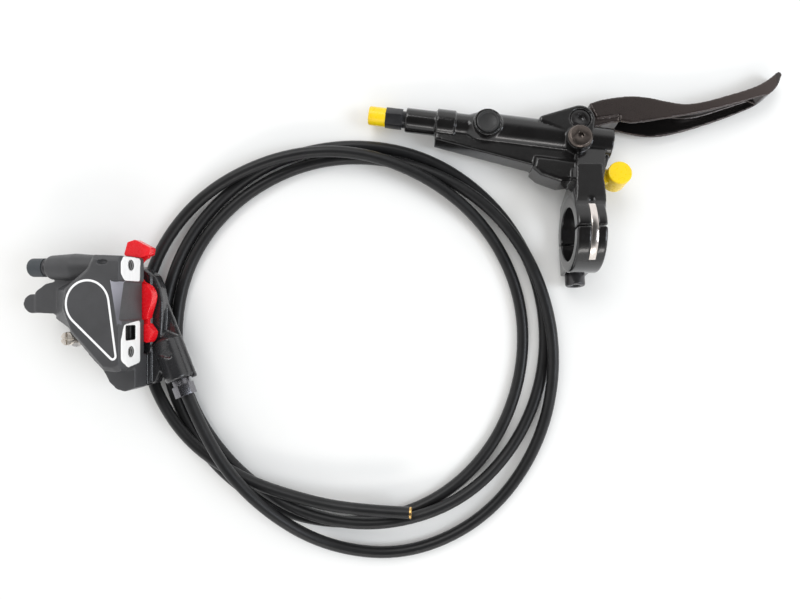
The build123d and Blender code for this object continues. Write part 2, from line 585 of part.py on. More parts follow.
def pad_pocket(side):
    """The space in one half for the disc, the pads, the cylinder and the pad axle."""
    disc = plate([(9, 40), (-22, 40), (-27.0, 8), (-27.0, -4), (-17.0, -15), (9, -21)], 0, SLOT_HALF, 1.0)
    depth = LINING_REST + LINING + BACKING + 0.15
    pads = extrude(offset(pad_face(PAD_R, True), 0.4), depth)
    mouth = plate([(-12, 8), (-40, -9), (-30, -19), (-8, -6)], 0, depth)
    bore = Pos(HOUSING_X, HOUSING_Y, 0) * post(WHEEL_PISTON_R + SLIDE, 0, PISTON_BORE_END)
    seal = LINING_REST + LINING + BACKING + 3.4
    bore += Pos(HOUSING_X, HOUSING_Y, 0) * post(WHEEL_PISTON_R + 1.2, seal, seal + 1.8)
    axle = Pos(AXLE_X, AXLE_Y, 0) * post(AXLE_R + SLIDE, 0, 30)
    spaces = disc + pads + mouth + bore + axle
    return spaces if side > 0 else mirror(spaces, Plane.XY)


def fluid_hollows():
    """The bleed nipple's hole and the passage from it to the outer cylinder."""
    return Pos(BLEED_X, BLEED_Y, BLEED_Z) * (rod(-1, 8.0, 2.6) + rod(7, 20.0, FLUID_R))


def inner_outline():
    """The inner half seen along the axle."""
    return [
        (-5.6, 17.4), (-15.0, 17.6), (-30.0, 12.0), (-40.0, 9.9), (ARM_X + 1.6, 6.6),
        (ARM_X + 1.6, -1.9), (-38.0, -5.6), (-31.0, -8.4), (-23.4, -15.6), (-18.5, -21.0),
        (-15.0, -24.2), (-13.3, -26.4), (-11.7, -29.6), (-8.3, -32.5), (-5.0, -33.3),
        (-0.3, -31.8), (-0.3, 13.6),
    ]


def caliper_inner_half():
    """The inner half, with the hose boss, its flange and the inner cylinder."""
    slab = plate(inner_outline(), -9.0, -SEAM, 1.0)
    slab += Pos(ARM_X, ARM_Y, 0) * post(ARM_R, -9.0, -SEAM) + mount_shelf()
    drum = Pos(HOUSING_X, HOUSING_Y, 0) * post(WHEEL_PISTON_R + HOUSING_WALL, INNER_BOTTOM, -8.0)
    drum = chamfer(drum.edges().group_by(Axis.Z)[0], 1.4)
    body = slab + drum + hose_boss() + boss_flange()
    body -= pad_pocket(-1) + bolt_hollows() + hose_hollow()
    return body


def mount_shelf():
    """The step of the inner half towards the bike's frame, below the disc."""
    edge = [
        (-6.0, 17.0), (-3.6, 16.6), (1.0, 13.4), (3.2, 8.3), (4.3, 2.8), (4.3, -4.2), (3.4, -15.5),
        (2.1, -18.4), (2.9, -26.7), (1.0, -31.4), (-6.0, -32.6),
    ]
    shelf = plate(edge, -9.0, SHELF_TOP)
    return chamfer(shelf.edges().group_by(Axis.Z)[-1], 0.5)


def boss_place():
    """The hose's exit from the caliper, +X along the hose."""
    return Pos(HOSE_EXIT_X, HOSE_EXIT_Y, HOSE_EXIT_Z) * Rot(0, 0, HOSE_ANGLE)


def hose_boss():
    """The round boss that takes the hose's union."""
    end = -UNION_NUT - 0.6
    return boss_place() * turned(
        (end - UNION_LENGTH - 6.0, 0), (end - UNION_LENGTH, UNION_R), (end - 0.6, UNION_R),
        (end, UNION_R - 0.6), (end, 0),
    )


def boss_flange():
    """The thin straight web along the boss's outer side."""
    edge = [(-1.0, 12.6), (3.6, 4.0), (17.2, -28.4), (15.4, -29.4), (0.0, -8.0)]
    return plate(edge, -9.0, -7.2)


def bolt_hollows():
    """The clearance holes of the two body bolts in the inner half."""
    holes = Part()
    for x, y in ((ARM_X, ARM_Y), (LOBE_X, LOBE_Y)):
        holes += Pos(x, y, 0) * post(BODY_BOLT_R + SLIDE, -20, 1)
    return holes


def hose_hollow():
    """The threaded seat for the hose's union nut and the passage behind it."""
    seat = rod(-HOSE_INSIDE - 1.4, -UNION_NUT + 1, UNION_THREAD_R)
    return boss_place() * (seat + rod(-HOSE_INSIDE - 10.0, -HOSE_INSIDE, FLUID_R))


def union_nut():
    """The hose's nut on the caliper, with a hexagon outside and a threaded neck inside."""
    nut = rod(-UNION_NUT - UNION_NECK, -UNION_HEX_LENGTH, UNION_THREAD_R - FIT)
    hexagon = extrude(RegularPolygon(UNION_HEX / 2, 6, major_radius=False), UNION_HEX_LENGTH)
    nut += Pos(-UNION_HEX_LENGTH - 0.6, 0, 0) * Rot(0, 90, 0) * hexagon
    return CALIPER * boss_place() * (nut - rod(-20, 5, HOSE_R + SEAM))


def union_olive():
    """The brass olive that the nut presses on the hose."""
    end = -UNION_NUT - UNION_NECK
    olive = turned(
        (end - OLIVE, HOSE_R + SEAM), (end - OLIVE + 0.8, UNION_THREAD_R - 0.4),
        (end - 0.6, UNION_THREAD_R - 0.4), (end - SEAM, HOSE_R + SEAM),
    )
    return CALIPER * boss_place() * olive


def wheel_piston(side):
    """One of the two pistons, a cup open to its pad's side."""
    face = LINING_REST + LINING + BACKING
    cup = post(WHEEL_PISTON_R, face, face + WHEEL_PISTON)
    cup -= post(WHEEL_PISTON_R - 2.4, face - 1, face + WHEEL_PISTON - 1.6)
    cup = Pos(HOUSING_X, HOUSING_Y, 0) * cup
    return CALIPER * (cup if side > 0 else mirror(cup, Plane.XY))


def wheel_piston_seal(side):
    """The square section ring in the cylinder's groove."""
    start = LINING_REST + LINING + BACKING + 3.4
    ring = post(WHEEL_PISTON_R + 1.15, start + 0.05, start + 1.75, WHEEL_PISTON_R + 0.02)
    ring = Pos(HOUSING_X, HOUSING_Y, 0) * ring
    return CALIPER * (ring if side > 0 else mirror(ring, Plane.XY))


def pad_face(radius, eye):
    """A pad's outline: round at the disc, with an ear for the axle."""
    disc = Pos(HOUSING_X, HOUSING_Y) * Circle(radius)
    if not eye:
        return disc & (Pos(HOUSING_X, HOUSING_Y) * Rectangle(2 * radius, 2 * radius - 3.0))
    ear = Pos(AXLE_X, AXLE_Y) * Circle(3.6)
    return make_hull(disc.edges() + ear.edges())


def pad_backing(side):
    """The steel plate of a pad, hung on the axle by its eye."""
    start = LINING_REST + LINING
    back = Pos(0, 0, start) * extrude(pad_face(PAD_R, True), BACKING)
    back -= Pos(AXLE_X, AXLE_Y, 0) * post(AXLE_R + 0.1, 0, 10)
    return CALIPER * (back if side > 0 else mirror(back, Plane.XY))


def pad_lining(side):
    """The friction lining on a pad."""
    lining = Pos(0, 0, LINING_REST) * extrude(pad_face(PAD_R - 0.8, False), LINING)
    groove = block((-0.5, 0.5), (-20, 20), (0, LINING_REST + 0.9))
    lining -= Pos(HOUSING_X, HOUSING_Y, 0) * Rot(0, 0, 45) * groove
    return CALIPER * (lining if side > 0 else mirror(lining, Plane.XY))


def pad_axle():
    """The screw that the pads hang on, with a slotted head at the outer side."""
    top = 9.0
    axle = post(AXLE_R, -6.8, top) + post(AXLE_HEAD_R, top, top + 2.0)
    axle -= block((-0.4, 0.4), (-9, 9), (top + 1.1, top + 3))
    axle -= block((-9, 9), (-0.4, 0.4), (top + 1.1, top + 3))
    return CALIPER * Pos(AXLE_X, AXLE_Y, 0) * axle


def body_bolts():
    """The two screws that hold the halves together, with their heads on the inner half."""
    bolts = Part()
    for x, y in ((ARM_X, ARM_Y), (LOBE_X, LOBE_Y)):
        head = post(BODY_HEAD_R, -9.0 - BODY_HEAD, -9.0)
        head = chamfer(head.edges().group_by(Axis.Z)[0], 0.5)
        head -= Pos(0, 0, -9.0 - BODY_HEAD) * Rot(180, 0, 0) * hexagon_socket(4.0, 1.8)
        bolts += Pos(x, y, 0) * (head + post(BODY_BOLT_R, -9.0, 0))
    return CALIPER * bolts


def bleed_nipple():
    """The bleed nipple, screwed into its boss."""
    nipple = rod(0, 7.8, 2.6 - FIT) + rod(-NIPPLE_FLANGE, 0, 3.6) + rod(NIPPLE_END, -NIPPLE_FLANGE, 2.4)
    return CALIPER * Pos(BLEED_X, BLEED_Y, BLEED_Z) * (nipple - rod(-20, 6, 0.7))


def bleed_cap():
    """The rubber cap over the nipple."""
    cap = rod(NIPPLE_CAP_END, -NIPPLE_FLANGE - SEAM, NIPPLE_CAP_R)
    cap = fillet(cap.edges().group_by(Axis.X)[0], 1.2)
    cap -= rod(NIPPLE_END - SEAM, 0, 2.4 + SEAM)
    return CALIPER * Pos(BLEED_X, BLEED_Y, BLEED_Z) * cap


def pad_spacer():
    """The red transport piece between the pads, with lobes to pull it out by."""
    tongue = [(-22.0, 9.0), (-22.0, -4.0), (-10.0, -8.6), (0.5, -12.0), (0.5, 22.0), (-9.0, 22.0)]
    spacer = plate(tongue, -SPACER_HALF, SPACER_HALF, 1.0)
    grip = [(-9.6, 21.6), (-8.0, 27.0), (-4.6, 28.0), (2.2, 24.6), (1.6, 21.8), (-2.0, 20.6)]
    top = plate(grip, -SPACER_RIM_HALF, SPACER_RIM_HALF, 0.8)
    middle = Pos(-1.2, 2.6) * Ellipse(4.4, 7.4)
    lower = Pos(0.6, -10.2) * Ellipse(2.8, 3.9)
    spacer += top
    spacer += Pos(0, 0, -SPACER_RIM_HALF) * extrude(middle, 2 * SPACER_RIM_HALF)
    spacer += Pos(0, 0, -SPACER_RIM_HALF) * extrude(lower, 2 * SPACER_RIM_HALF)
    pads = post(PAD_R + 0.4, SPACER_HALF, 5) + post(PAD_R + 0.4, -5, -SPACER_HALF)
    return CALIPER * (spacer - Pos(HOUSING_X, HOUSING_Y, 0) * pads)


# Hose

def route():
    """The hose's points, from inside the caliper's union to its free end."""
    start = (CALIPER * boss_place() * Pos(-HOSE_INSIDE, 0, 0)).position
    points = [start]
    for angle, radius, height in HOSE_LOOPS:
        turn = radians(angle)
        points.append(Vector(COIL_X + radius * cos(turn), COIL_Y + radius * sin(turn), height))
    points[1] = (CALIPER * boss_place() * Pos(20.0, 0, 0)).position
    return points


def corner_radii(points):
    """The largest arc that each corner's two runs allow."""
    radii = []
    for before, here, after in zip(points, points[1:], points[2:]):
        turn = radians((here - before).get_angle(after - here))
        shorter = min((here - before).length, (after - here).length)
        radii.append(0.45 * shorter / tan(turn / 2))
    return radii


def hose():
    """The hose as one tube of straight runs and arcs."""
    points = route()
    path = FilletPolyline(*points, radius=corner_radii(points))
    start = Plane(path @ 0, z_dir=path % 0)
    return sweep(start * Circle(HOSE_R), path)


def hose_insert():
    """The brass insert in the hose's free end."""
    points = route()
    away = (points[-1] - points[-2]).normalized()
    place = Plane(points[-1], z_dir=away)
    return place.location * post(HOSE_R - 0.1, 0, HOSE_INSERT, HOSE_BORE_R)


PARTS = {
    "lever_body": LEVER * lever_body(),
    "clamp_cap": LEVER * clamp_cap(),
    "clamp_bolt": LEVER * clamp_bolt(),
    "clamp_strap": LEVER * clamp_strap(),
    "lever_blade": LEVER * lever_blade(),
    "pivot_bush_upper": LEVER * pivot_bush(1),
    "pivot_bush_lower": LEVER * pivot_bush(-1),
    "pivot_pin": LEVER * pivot_pin(),
    "master_piston": LEVER * master_piston(),
    "primary_seal": LEVER * piston_seal(PISTON_FRONT + 1.6),
    "secondary_seal": LEVER * piston_seal(PISTON_REAR - 4.4),
    "push_rod": LEVER * push_rod(),
    "stop_washer": LEVER * stop_washer(),
    "return_spring": LEVER * return_spring(),
    "reservoir_plug": LEVER * reservoir_plug(),
    "bleed_screw": LEVER * bleed_screw(),
    "bleed_ring": LEVER * bleed_ring(),
    "port_nut": LEVER * port_nut(),
    "port_cap": LEVER * port_cap(),
    "lever_stop": LEVER * lever_stop(),
    "caliper_outer_half": CALIPER * caliper_outer_half(),
    "caliper_inner_half": CALIPER * caliper_inner_half(),
    "outer_piston": wheel_piston(1),
    "inner_piston": wheel_piston(-1),
    "outer_piston_seal": wheel_piston_seal(1),
    "inner_piston_seal": wheel_piston_seal(-1),
    "outer_pad_backing": pad_backing(1),
    "inner_pad_backing": pad_backing(-1),
    "outer_pad_lining": pad_lining(1),
    "inner_pad_lining": pad_lining(-1),
    "pad_axle": pad_axle(),
    "body_bolts": body_bolts(),
    "bleed_nipple": bleed_nipple(),
    "bleed_cap": bleed_cap(),
    "pad_spacer": pad_spacer(),
    "union_nut": union_nut(),
    "union_olive": union_olive(),
    "hose": hose(),
    "hose_insert": hose_insert(),
}

os.makedirs("parts", exist_ok=True)
for name, shape in PARTS.items():
    export_step(shape, f"parts/{name}.step")
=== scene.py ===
import json
import logging
import math
from dataclasses import dataclass, field
from enum import Enum
from typing import Any

import bmesh
import bpy
from mathutils import Matrix, Vector


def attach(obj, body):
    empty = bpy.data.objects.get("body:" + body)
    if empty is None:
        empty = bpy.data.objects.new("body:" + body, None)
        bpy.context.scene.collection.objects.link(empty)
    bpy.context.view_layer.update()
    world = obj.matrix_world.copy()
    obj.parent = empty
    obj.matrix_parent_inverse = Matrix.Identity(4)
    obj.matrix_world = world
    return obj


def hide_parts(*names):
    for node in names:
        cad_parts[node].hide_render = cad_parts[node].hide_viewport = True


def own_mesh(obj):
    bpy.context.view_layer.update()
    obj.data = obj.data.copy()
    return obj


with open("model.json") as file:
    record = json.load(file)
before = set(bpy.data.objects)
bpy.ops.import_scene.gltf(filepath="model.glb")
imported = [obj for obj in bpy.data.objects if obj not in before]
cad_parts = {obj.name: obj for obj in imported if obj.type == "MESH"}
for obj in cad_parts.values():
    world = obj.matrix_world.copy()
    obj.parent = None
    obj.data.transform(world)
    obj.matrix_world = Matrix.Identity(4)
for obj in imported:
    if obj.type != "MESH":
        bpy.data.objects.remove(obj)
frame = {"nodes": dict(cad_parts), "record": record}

LOG = logging.getLogger("disc_brake")
MM = 0.001
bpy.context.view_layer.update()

Colour = tuple[float, float, float]
Point = tuple[float, float, float]
Span = tuple[float, float]
Quad = tuple[float, float, float, float]

# Where the lever and the caliper lie, and how far each is tipped, in degrees.
LEVER_PLACE = (70.3 * MM, -1.3 * MM, 18.4 * MM)
LEVER_TIP = -11.5
CALIPER_PLACE = (-108.9 * MM, -31.8 * MM, 21.0 * MM)
CALIPER_TIP = -9.0

# The detail and roughness of three kinds of noise.
CLOUD = (4.0, 0.6)
FINE = (3.0, 0.6)
GRAIN = (2.0, 0.5)

# Points nearer than a gap are welded; edges are flat below one angle and sharp above another.
CAD_GAP = 0.002 * MM
BEVEL_GAP = 0.003 * MM
FLAT = math.radians(1.0)
SHARP = math.radians(32.0)
COIL_SHARP = math.radians(40.0)


class Body(Enum):
    """The bodies of the frame that pieces ride on."""

    BRAKE = "brake"
    LEVER = "lever"


class Graph:
    """A material's node tree, with short ways to add and join its nodes."""

    def __init__(self, name: str) -> None:
        """Makes an empty material with its output and its surface shader.

        Args:
            name: The material's name.
        """
        self.material = bpy.data.materials.new(name)
        self.material.use_nodes = True
        self.tree = self.material.node_tree
        self.tree.nodes.clear()
        self.output = self.tree.nodes.new("ShaderNodeOutputMaterial")
        self.shader = self.tree.nodes.new("ShaderNodeBsdfPrincipled")
        self.join(self.shader.outputs["BSDF"], self.output.inputs["Surface"])
        self.place = self.tree.nodes.new("ShaderNodeTexCoord").outputs["Object"]

    def join(self, source: Any, target: Any) -> None:
        """Links an output to an input."""
        self.tree.links.new(source, target)

    def set(self, **values: Any) -> None:
        """Sets constants on the shader's own sockets, an underscore for each space."""
        for name, value in values.items():
            self.shader.inputs[name.replace("_", " ")].default_value = value

    def rough(self, socket: Any) -> None:
        """Joins a roughness to the shader."""
        self.join(socket, self.shader.inputs["Roughness"])

    def noise(
        self, scale: float, detail: float = 3.0, rough: float = 0.5, place: Any = None,
    ) -> Any:
        """Adds a noise pattern.

        Args:
            scale: Cells in a metre.
            detail: Octaves of the noise.
            rough: How strong the finer octaves are.
            place: The coordinates it reads, or the object's own.

        Returns:
            The output with values about 0.5.
        """
        node = self.tree.nodes.new("ShaderNodeTexNoise")
        node.inputs["Scale"].default_value = scale
        node.inputs["Detail"].default_value = detail
        node.inputs["Roughness"].default_value = rough
        self.join(place or self.place, node.inputs["Vector"])
        return node.outputs["Fac"]

    def mapped(
        self, centre: Point = (0, 0, 0), turn: Point = (0, 0, 0), scale: Point = (1, 1, 1),
    ) -> Any:
        """Reads the object's coordinates in axes of a piece's own.

        Args:
            centre: The origin of those axes, in metres.
            turn: Their rotation, in degrees.
            scale: The size of one unit along each of them.

        Returns:
            The coordinates in those axes.
        """
        node = self.tree.nodes.new("ShaderNodeMapping")
        node.vector_type = "TEXTURE"
        node.inputs["Location"].default_value = centre
        node.inputs["Rotation"].default_value = [math.radians(a) for a in turn]
        node.inputs["Scale"].default_value = scale
        self.join(self.place, node.inputs["Vector"])
        return node.outputs["Vector"]

    def math(self, operation: str, first: Any, second: Any = None) -> Any:
        """Adds one sum of one or two numbers or sockets and gives its output."""
        node = self.tree.nodes.new("ShaderNodeMath")
        node.operation = operation
        for socket, value in zip(node.inputs, (first, second)):
            if value is None:
                continue
            if isinstance(value, (int, float)):
                socket.default_value = value
            else:
                self.join(value, socket)
        return node.outputs[0]

    def axes(self, vector: Any) -> tuple[Any, Any, Any]:
        """Splits coordinates into x, y and z."""
        node = self.tree.nodes.new("ShaderNodeSeparateXYZ")
        self.join(vector, node.inputs[0])
        return node.outputs[0], node.outputs[1], node.outputs[2]

    def spread(
        self, value: Any, low: float, high: float, start: float = 0.3, end: float = 0.7,
    ) -> Any:
        """Maps a pattern from start..end to low..high, clamped.

        Args:
            value: The pattern.
            low: The result at start.
            high: The result at end.
            start: The pattern's value that gives low.
            end: The pattern's value that gives high.

        Returns:
            The mapped output.
        """
        node = self.tree.nodes.new("ShaderNodeMapRange")
        node.inputs["From Min"].default_value = start
        node.inputs["From Max"].default_value = end
        node.inputs["To Min"].default_value = low
        node.inputs["To Max"].default_value = high
        self.join(value, node.inputs["Value"])
        return node.outputs["Result"]

    def inside(self, value: Any, low: float, high: float) -> Any:
        """Gives 1 where a socket's value lies between two limits, and 0 elsewhere."""
        middle = self.math("SUBTRACT", value, (low + high) / 2)
        return self.math("LESS_THAN", self.math("ABSOLUTE", middle), (high - low) / 2)

    def blend(self, factor: Any, first: Any, second: Any) -> Any:
        """Mixes two colours, or colour sockets, by a factor socket."""
        node = self.tree.nodes.new("ShaderNodeMix")
        node.data_type = "RGBA"
        self.join(factor, node.inputs["Factor"])
        for socket, value in ((node.inputs[6], first), (node.inputs[7], second)):
            if isinstance(value, tuple):
                socket.default_value = (*value, 1.0)
            else:
                self.join(value, socket)
        return node.outputs[2]

    def colour(self, socket: Any) -> None:
        """Joins a colour to the shader."""
        self.join(socket, self.shader.inputs["Base Color"])

    def relief(self, height: Any, depth: float, edge: float = 0.0) -> None:
        """Bumps the surface by a pattern, and rounds its edges to the light.

        Args:
            height: The pattern from 0 to 1.
            depth: Its depth in metres.
            edge: The radius of the rounding, in metres.
        """
        bump = self.tree.nodes.new("ShaderNodeBump")
        bump.inputs["Strength"].default_value = 1.0
        bump.inputs["Distance"].default_value = depth
        self.join(height, bump.inputs["Height"])
        if edge:
            rounding = self.tree.nodes.new("ShaderNodeBevel")
            rounding.samples = 4
            rounding.inputs["Radius"].default_value = edge
            self.join(rounding.outputs["Normal"], bump.inputs["Normal"])
        self.join(bump.outputs["Normal"], self.shader.inputs["Normal"])


@dataclass(frozen=True)
class Finish:
    """A surface whose colour, gloss and relief vary over fine grain."""

    name: str
    base: Colour
    tint: Colour
    roughness: float
    gloss_change: float = 0.08
    metallic: float = 0.0
    coat: float = 0.0
    grain: float = 900.0
    depth: float = 0.00001
    edge: float = 0.0002
    patch: float = 60.0
    coat_roughness: float = 0.08
    mark_share: float = 0.35

    def make(self) -> bpy.types.Material:
        """Builds the material."""
        graph = Graph(self.name)
        graph.set(
            Metallic=self.metallic, Coat_Weight=self.coat, Coat_Roughness=self.coat_roughness,
        )
        patches = graph.noise(self.patch, *CLOUD)
        graph.colour(graph.blend(graph.spread(patches, 0.0, 1.0), self.base, self.tint))
        marks = graph.noise(self.grain * self.mark_share, *FINE)
        change = self.gloss_change
        graph.rough(graph.spread(marks, self.roughness - change, self.roughness + change))
        graph.relief(graph.noise(self.grain, *GRAIN), self.depth, self.edge)
        return graph.material


@dataclass(frozen=True)
class TurnedMetal:
    """Metal with the fine rings or lines that a tool leaves along one direction."""

    name: str
    base: Colour
    tint: Colour
    roughness: float
    lines: Point = (1.0, 1.0, 1.0)
    density: float = 2500.0
    depth: float = 0.000004
    edge: float = 0.00015
    smoother: float = 0.06
    rougher: float = 0.1

    def make(self) -> bpy.types.Material:
        """Builds the material."""
        graph = Graph(self.name)
        graph.set(Metallic=1.0)
        stretched = graph.mapped(scale=self.lines)
        lines = graph.noise(self.density, detail=2.0, rough=0.6, place=stretched)
        graph.colour(graph.blend(graph.spread(lines, 0.0, 1.0), self.base, self.tint))
        least, most = self.roughness - self.smoother, self.roughness + self.rougher
        graph.rough(graph.spread(lines, least, most))
        graph.relief(lines, self.depth, self.edge)
        return graph.material


@dataclass(frozen=True)
class Moulding:
    """Smooth moulded plastic that lets a little light in."""

    name: str
    base: Colour
    tint: Colour
    roughness: float = 0.3
    depth: float = 0.000005
    edge: float = 0.0003
    smoother: float = 0.06
    rougher: float = 0.08
    seep: Point = (1.0, 0.5, 0.2)
    flow: float = 120.0
    fine: float = 700.0
    grain: float = 1600.0

    def make(self) -> bpy.types.Material:
        """Builds the material."""
        graph = Graph(self.name)
        graph.set(
            Subsurface_Weight=0.15, Subsurface_Scale=2.0 * MM, Subsurface_Radius=self.seep,
            Coat_Weight=0.1, Coat_Roughness=0.2,
        )
        flow = graph.spread(graph.noise(self.flow), 0.0, 1.0)
        graph.colour(graph.blend(flow, self.base, self.tint))
        least, most = self.roughness - self.smoother, self.roughness + self.rougher
        graph.rough(graph.spread(graph.noise(self.fine), least, most))
        graph.relief(graph.noise(self.grain, *GRAIN), self.depth, self.edge)
        return graph.material


@dataclass(frozen=True)
class HoseJacket:
    """The matte jacket of the hose, with a fine grain."""

    name: str = "hose_black"
    base: Colour = (0.008, 0.008, 0.0085)
    tint: Colour = (0.014, 0.014, 0.0145)
    roughness: Span = (0.34, 0.44)
    specular: float = 0.34
    cloud: float = 90.0
    fine: float = 1500.0
    depth: float = 0.000012

    def make(self) -> bpy.types.Material:
        """Builds the material."""
        graph = Graph(self.name)
        graph.set(Specular_IOR_Level=self.specular)
        cloud = graph.noise(self.cloud, *CLOUD)
        graph.colour(graph.blend(graph.spread(cloud, 0.0, 1.0), self.base, self.tint))
        fine = graph.noise(self.fine, *FINE)
        graph.rough(graph.spread(fine, *self.roughness))
        graph.relief(fine, self.depth)
        return graph.material


@dataclass(frozen=True)
class OuterCasting:
    """The satin coat of the outer half, with its machined faces, threads, window and bevel, where
    the thread grooves and the window get painted shade and the bevel a painted sheen.

    The lengths are in the caliper's axes: x out of the mount faces, y along them and z up.
    """

    name: str = "satin_grey"
    coat: Colour = (0.042, 0.042, 0.044)
    coat_tint: Colour = (0.054, 0.054, 0.057)
    bare: Colour = (0.90, 0.895, 0.88)
    bare_tint: Colour = (0.82, 0.815, 0.80)
    thread: Colour = (0.80, 0.79, 0.77)
    # painted shade: the dark stripes between the thread's crests
    thread_groove_shade: Colour = (0.10, 0.10, 0.10)
    # painted sheen: the bevel's light bluish colour and its dimmer end stand in for light reflected
    # off the facet
    bevel: Colour = (0.29, 0.285, 0.32)
    bevel_sheen_dim: Colour = (0.105, 0.102, 0.118)
    # painted shade: the near-black laid in the window, where the slot lies in shadow
    shade: Colour = (0.002, 0.002, 0.002)
    origin: Point = CALIPER_PLACE
    tip: Point = (0.0, CALIPER_TIP, 0.0)
    faced_x: Span = (-0.32 * MM, -0.22 * MM)
    hole_y: float = 17.0 * MM
    hole_z: float = 12.0 * MM
    hole_radius: float = 2.3 * MM
    hole_x: Span = (-9.5 * MM, -0.3 * MM)
    pitch: float = 0.8 * MM
    crest: Span = (0.35, 0.75)
    thread_metal: float = 0.35
    thread_gloss: float = 0.15
    window_x: Span = (-3.0 * MM, -0.35 * MM)
    window_y: Span = (-12.6 * MM, -6.5 * MM)
    window_z: Span = (8.8 * MM, 16.0 * MM)
    bevel_face: Quad = (0.8376, 0.1191, 0.5330, 8.596 * MM)
    bevel_half: float = 0.16 * MM
    bevel_y: Span = (-6.2 * MM, 10.9 * MM)
    bevel_slope: float = 0.162
    bevel_start: float = -2.30 * MM
    light_slope: float = -1.6
    light_reach: Span = (1.0 * MM, 15.0 * MM)
    cloud: float = 90.0
    marks: float = 700.0
    mark_stretch: Point = (1.0, 12.0, 1.0)
    fine: float = 900.0
    grain: float = 2600.0
    roughness: Span = (0.40, 0.52)
    depth: float = 0.012 * MM
    edge: float = 0.25 * MM

    def make(self) -> bpy.types.Material:
        """Builds the material."""
        graph = Graph(self.name)
        x, y, z = graph.axes(graph.mapped(self.origin, self.tip))
        cloud = graph.spread(graph.noise(self.cloud, *CLOUD), 0.0, 1.0)
        coat = graph.blend(cloud, self.coat, self.coat_tint)
        # painted sheen on the bevel, lighter towards the side the light falls from
        lit = graph.math("ADD", y, graph.math("MULTIPLY", x, self.light_slope))
        bevel = graph.blend(
            graph.spread(lit, 0.0, 1.0, *self.light_reach), self.bevel_sheen_dim, self.bevel,
        )
        coat = graph.blend(self.on_bevel(graph, x, y, z), coat, bevel)
        # painted shade in the window of the lower machined face
        below = graph.inside(x, *self.window_x)
        coat = graph.blend(
            graph.math("MULTIPLY", below, self.in_window(graph, y, z)), coat, self.shade,
        )
        machined = graph.spread(x, 0.0, 1.0, *self.faced_x)
        stretched = graph.mapped(self.origin, self.tip, self.mark_stretch)
        lines = graph.noise(self.marks, detail=3.0, rough=0.7, place=stretched)
        bare = graph.blend(graph.spread(lines, 0.0, 1.0), self.bare, self.bare_tint)
        faced = graph.blend(machined, coat, bare)
        hole = self.in_hole(graph, y, z)
        # real thread rings, with the grooves darkened as painted shade
        turns = graph.math("FRACT", graph.math("DIVIDE", x, self.pitch))
        thread = graph.blend(
            graph.spread(turns, 0.0, 1.0, *self.crest), self.thread_groove_shade, self.thread,
        )
        deep = graph.math("MULTIPLY", hole, graph.inside(x, *self.hole_x))
        graph.colour(graph.blend(deep, faced, thread))
        metal = graph.math("MULTIPLY", deep, self.thread_metal)
        graph.join(metal, graph.shader.inputs["Metallic"])
        grain = graph.noise(self.grain, *GRAIN)
        rough = graph.spread(graph.noise(self.fine, *FINE), *self.roughness)
        gloss = graph.math("MULTIPLY", deep, self.thread_gloss)
        graph.rough(graph.math("SUBTRACT", rough, gloss))
        graph.relief(grain, self.depth, self.edge)
        return graph.material

    def on_bevel(self, graph: Graph, x: Any, y: Any, z: Any) -> Any:
        """Finds the flat bevel beside the top face, which runs to a point at its lower end and
        takes the painted sheen.
        """
        across, along, up, reach = self.bevel_face
        height = graph.math("MULTIPLY", x, across)
        for axis, share in ((y, along), (z, up)):
            height = graph.math("ADD", height, graph.math("MULTIPLY", axis, share))
        height = graph.math("SUBTRACT", height, reach)
        flat = graph.inside(height, -self.bevel_half, self.bevel_half)
        flat = graph.math("MULTIPLY", flat, graph.inside(y, *self.bevel_y))
        slant = graph.math("ADD", x, graph.math("MULTIPLY", y, self.bevel_slope))
        return graph.math("MULTIPLY", flat, graph.math("GREATER_THAN", slant, self.bevel_start))

    def in_window(self, graph: Graph, y: Any, z: Any) -> Any:
        """Finds the window in the lower machined face, where the shade is painted."""
        return graph.math(
            "MULTIPLY", graph.inside(y, *self.window_y), graph.inside(z, *self.window_z),
        )

    def in_hole(self, graph: Graph, y: Any, z: Any) -> Any:
        """Finds the two mount holes."""
        side = graph.math("SUBTRACT", graph.math("ABSOLUTE", y), self.hole_y)
        rise = graph.math("SUBTRACT", z, self.hole_z)
        away = graph.math(
            "ADD", graph.math("MULTIPLY", side, side), graph.math("MULTIPLY", rise, rise),
        )
        return graph.math("LESS_THAN", away, self.hole_radius**2)


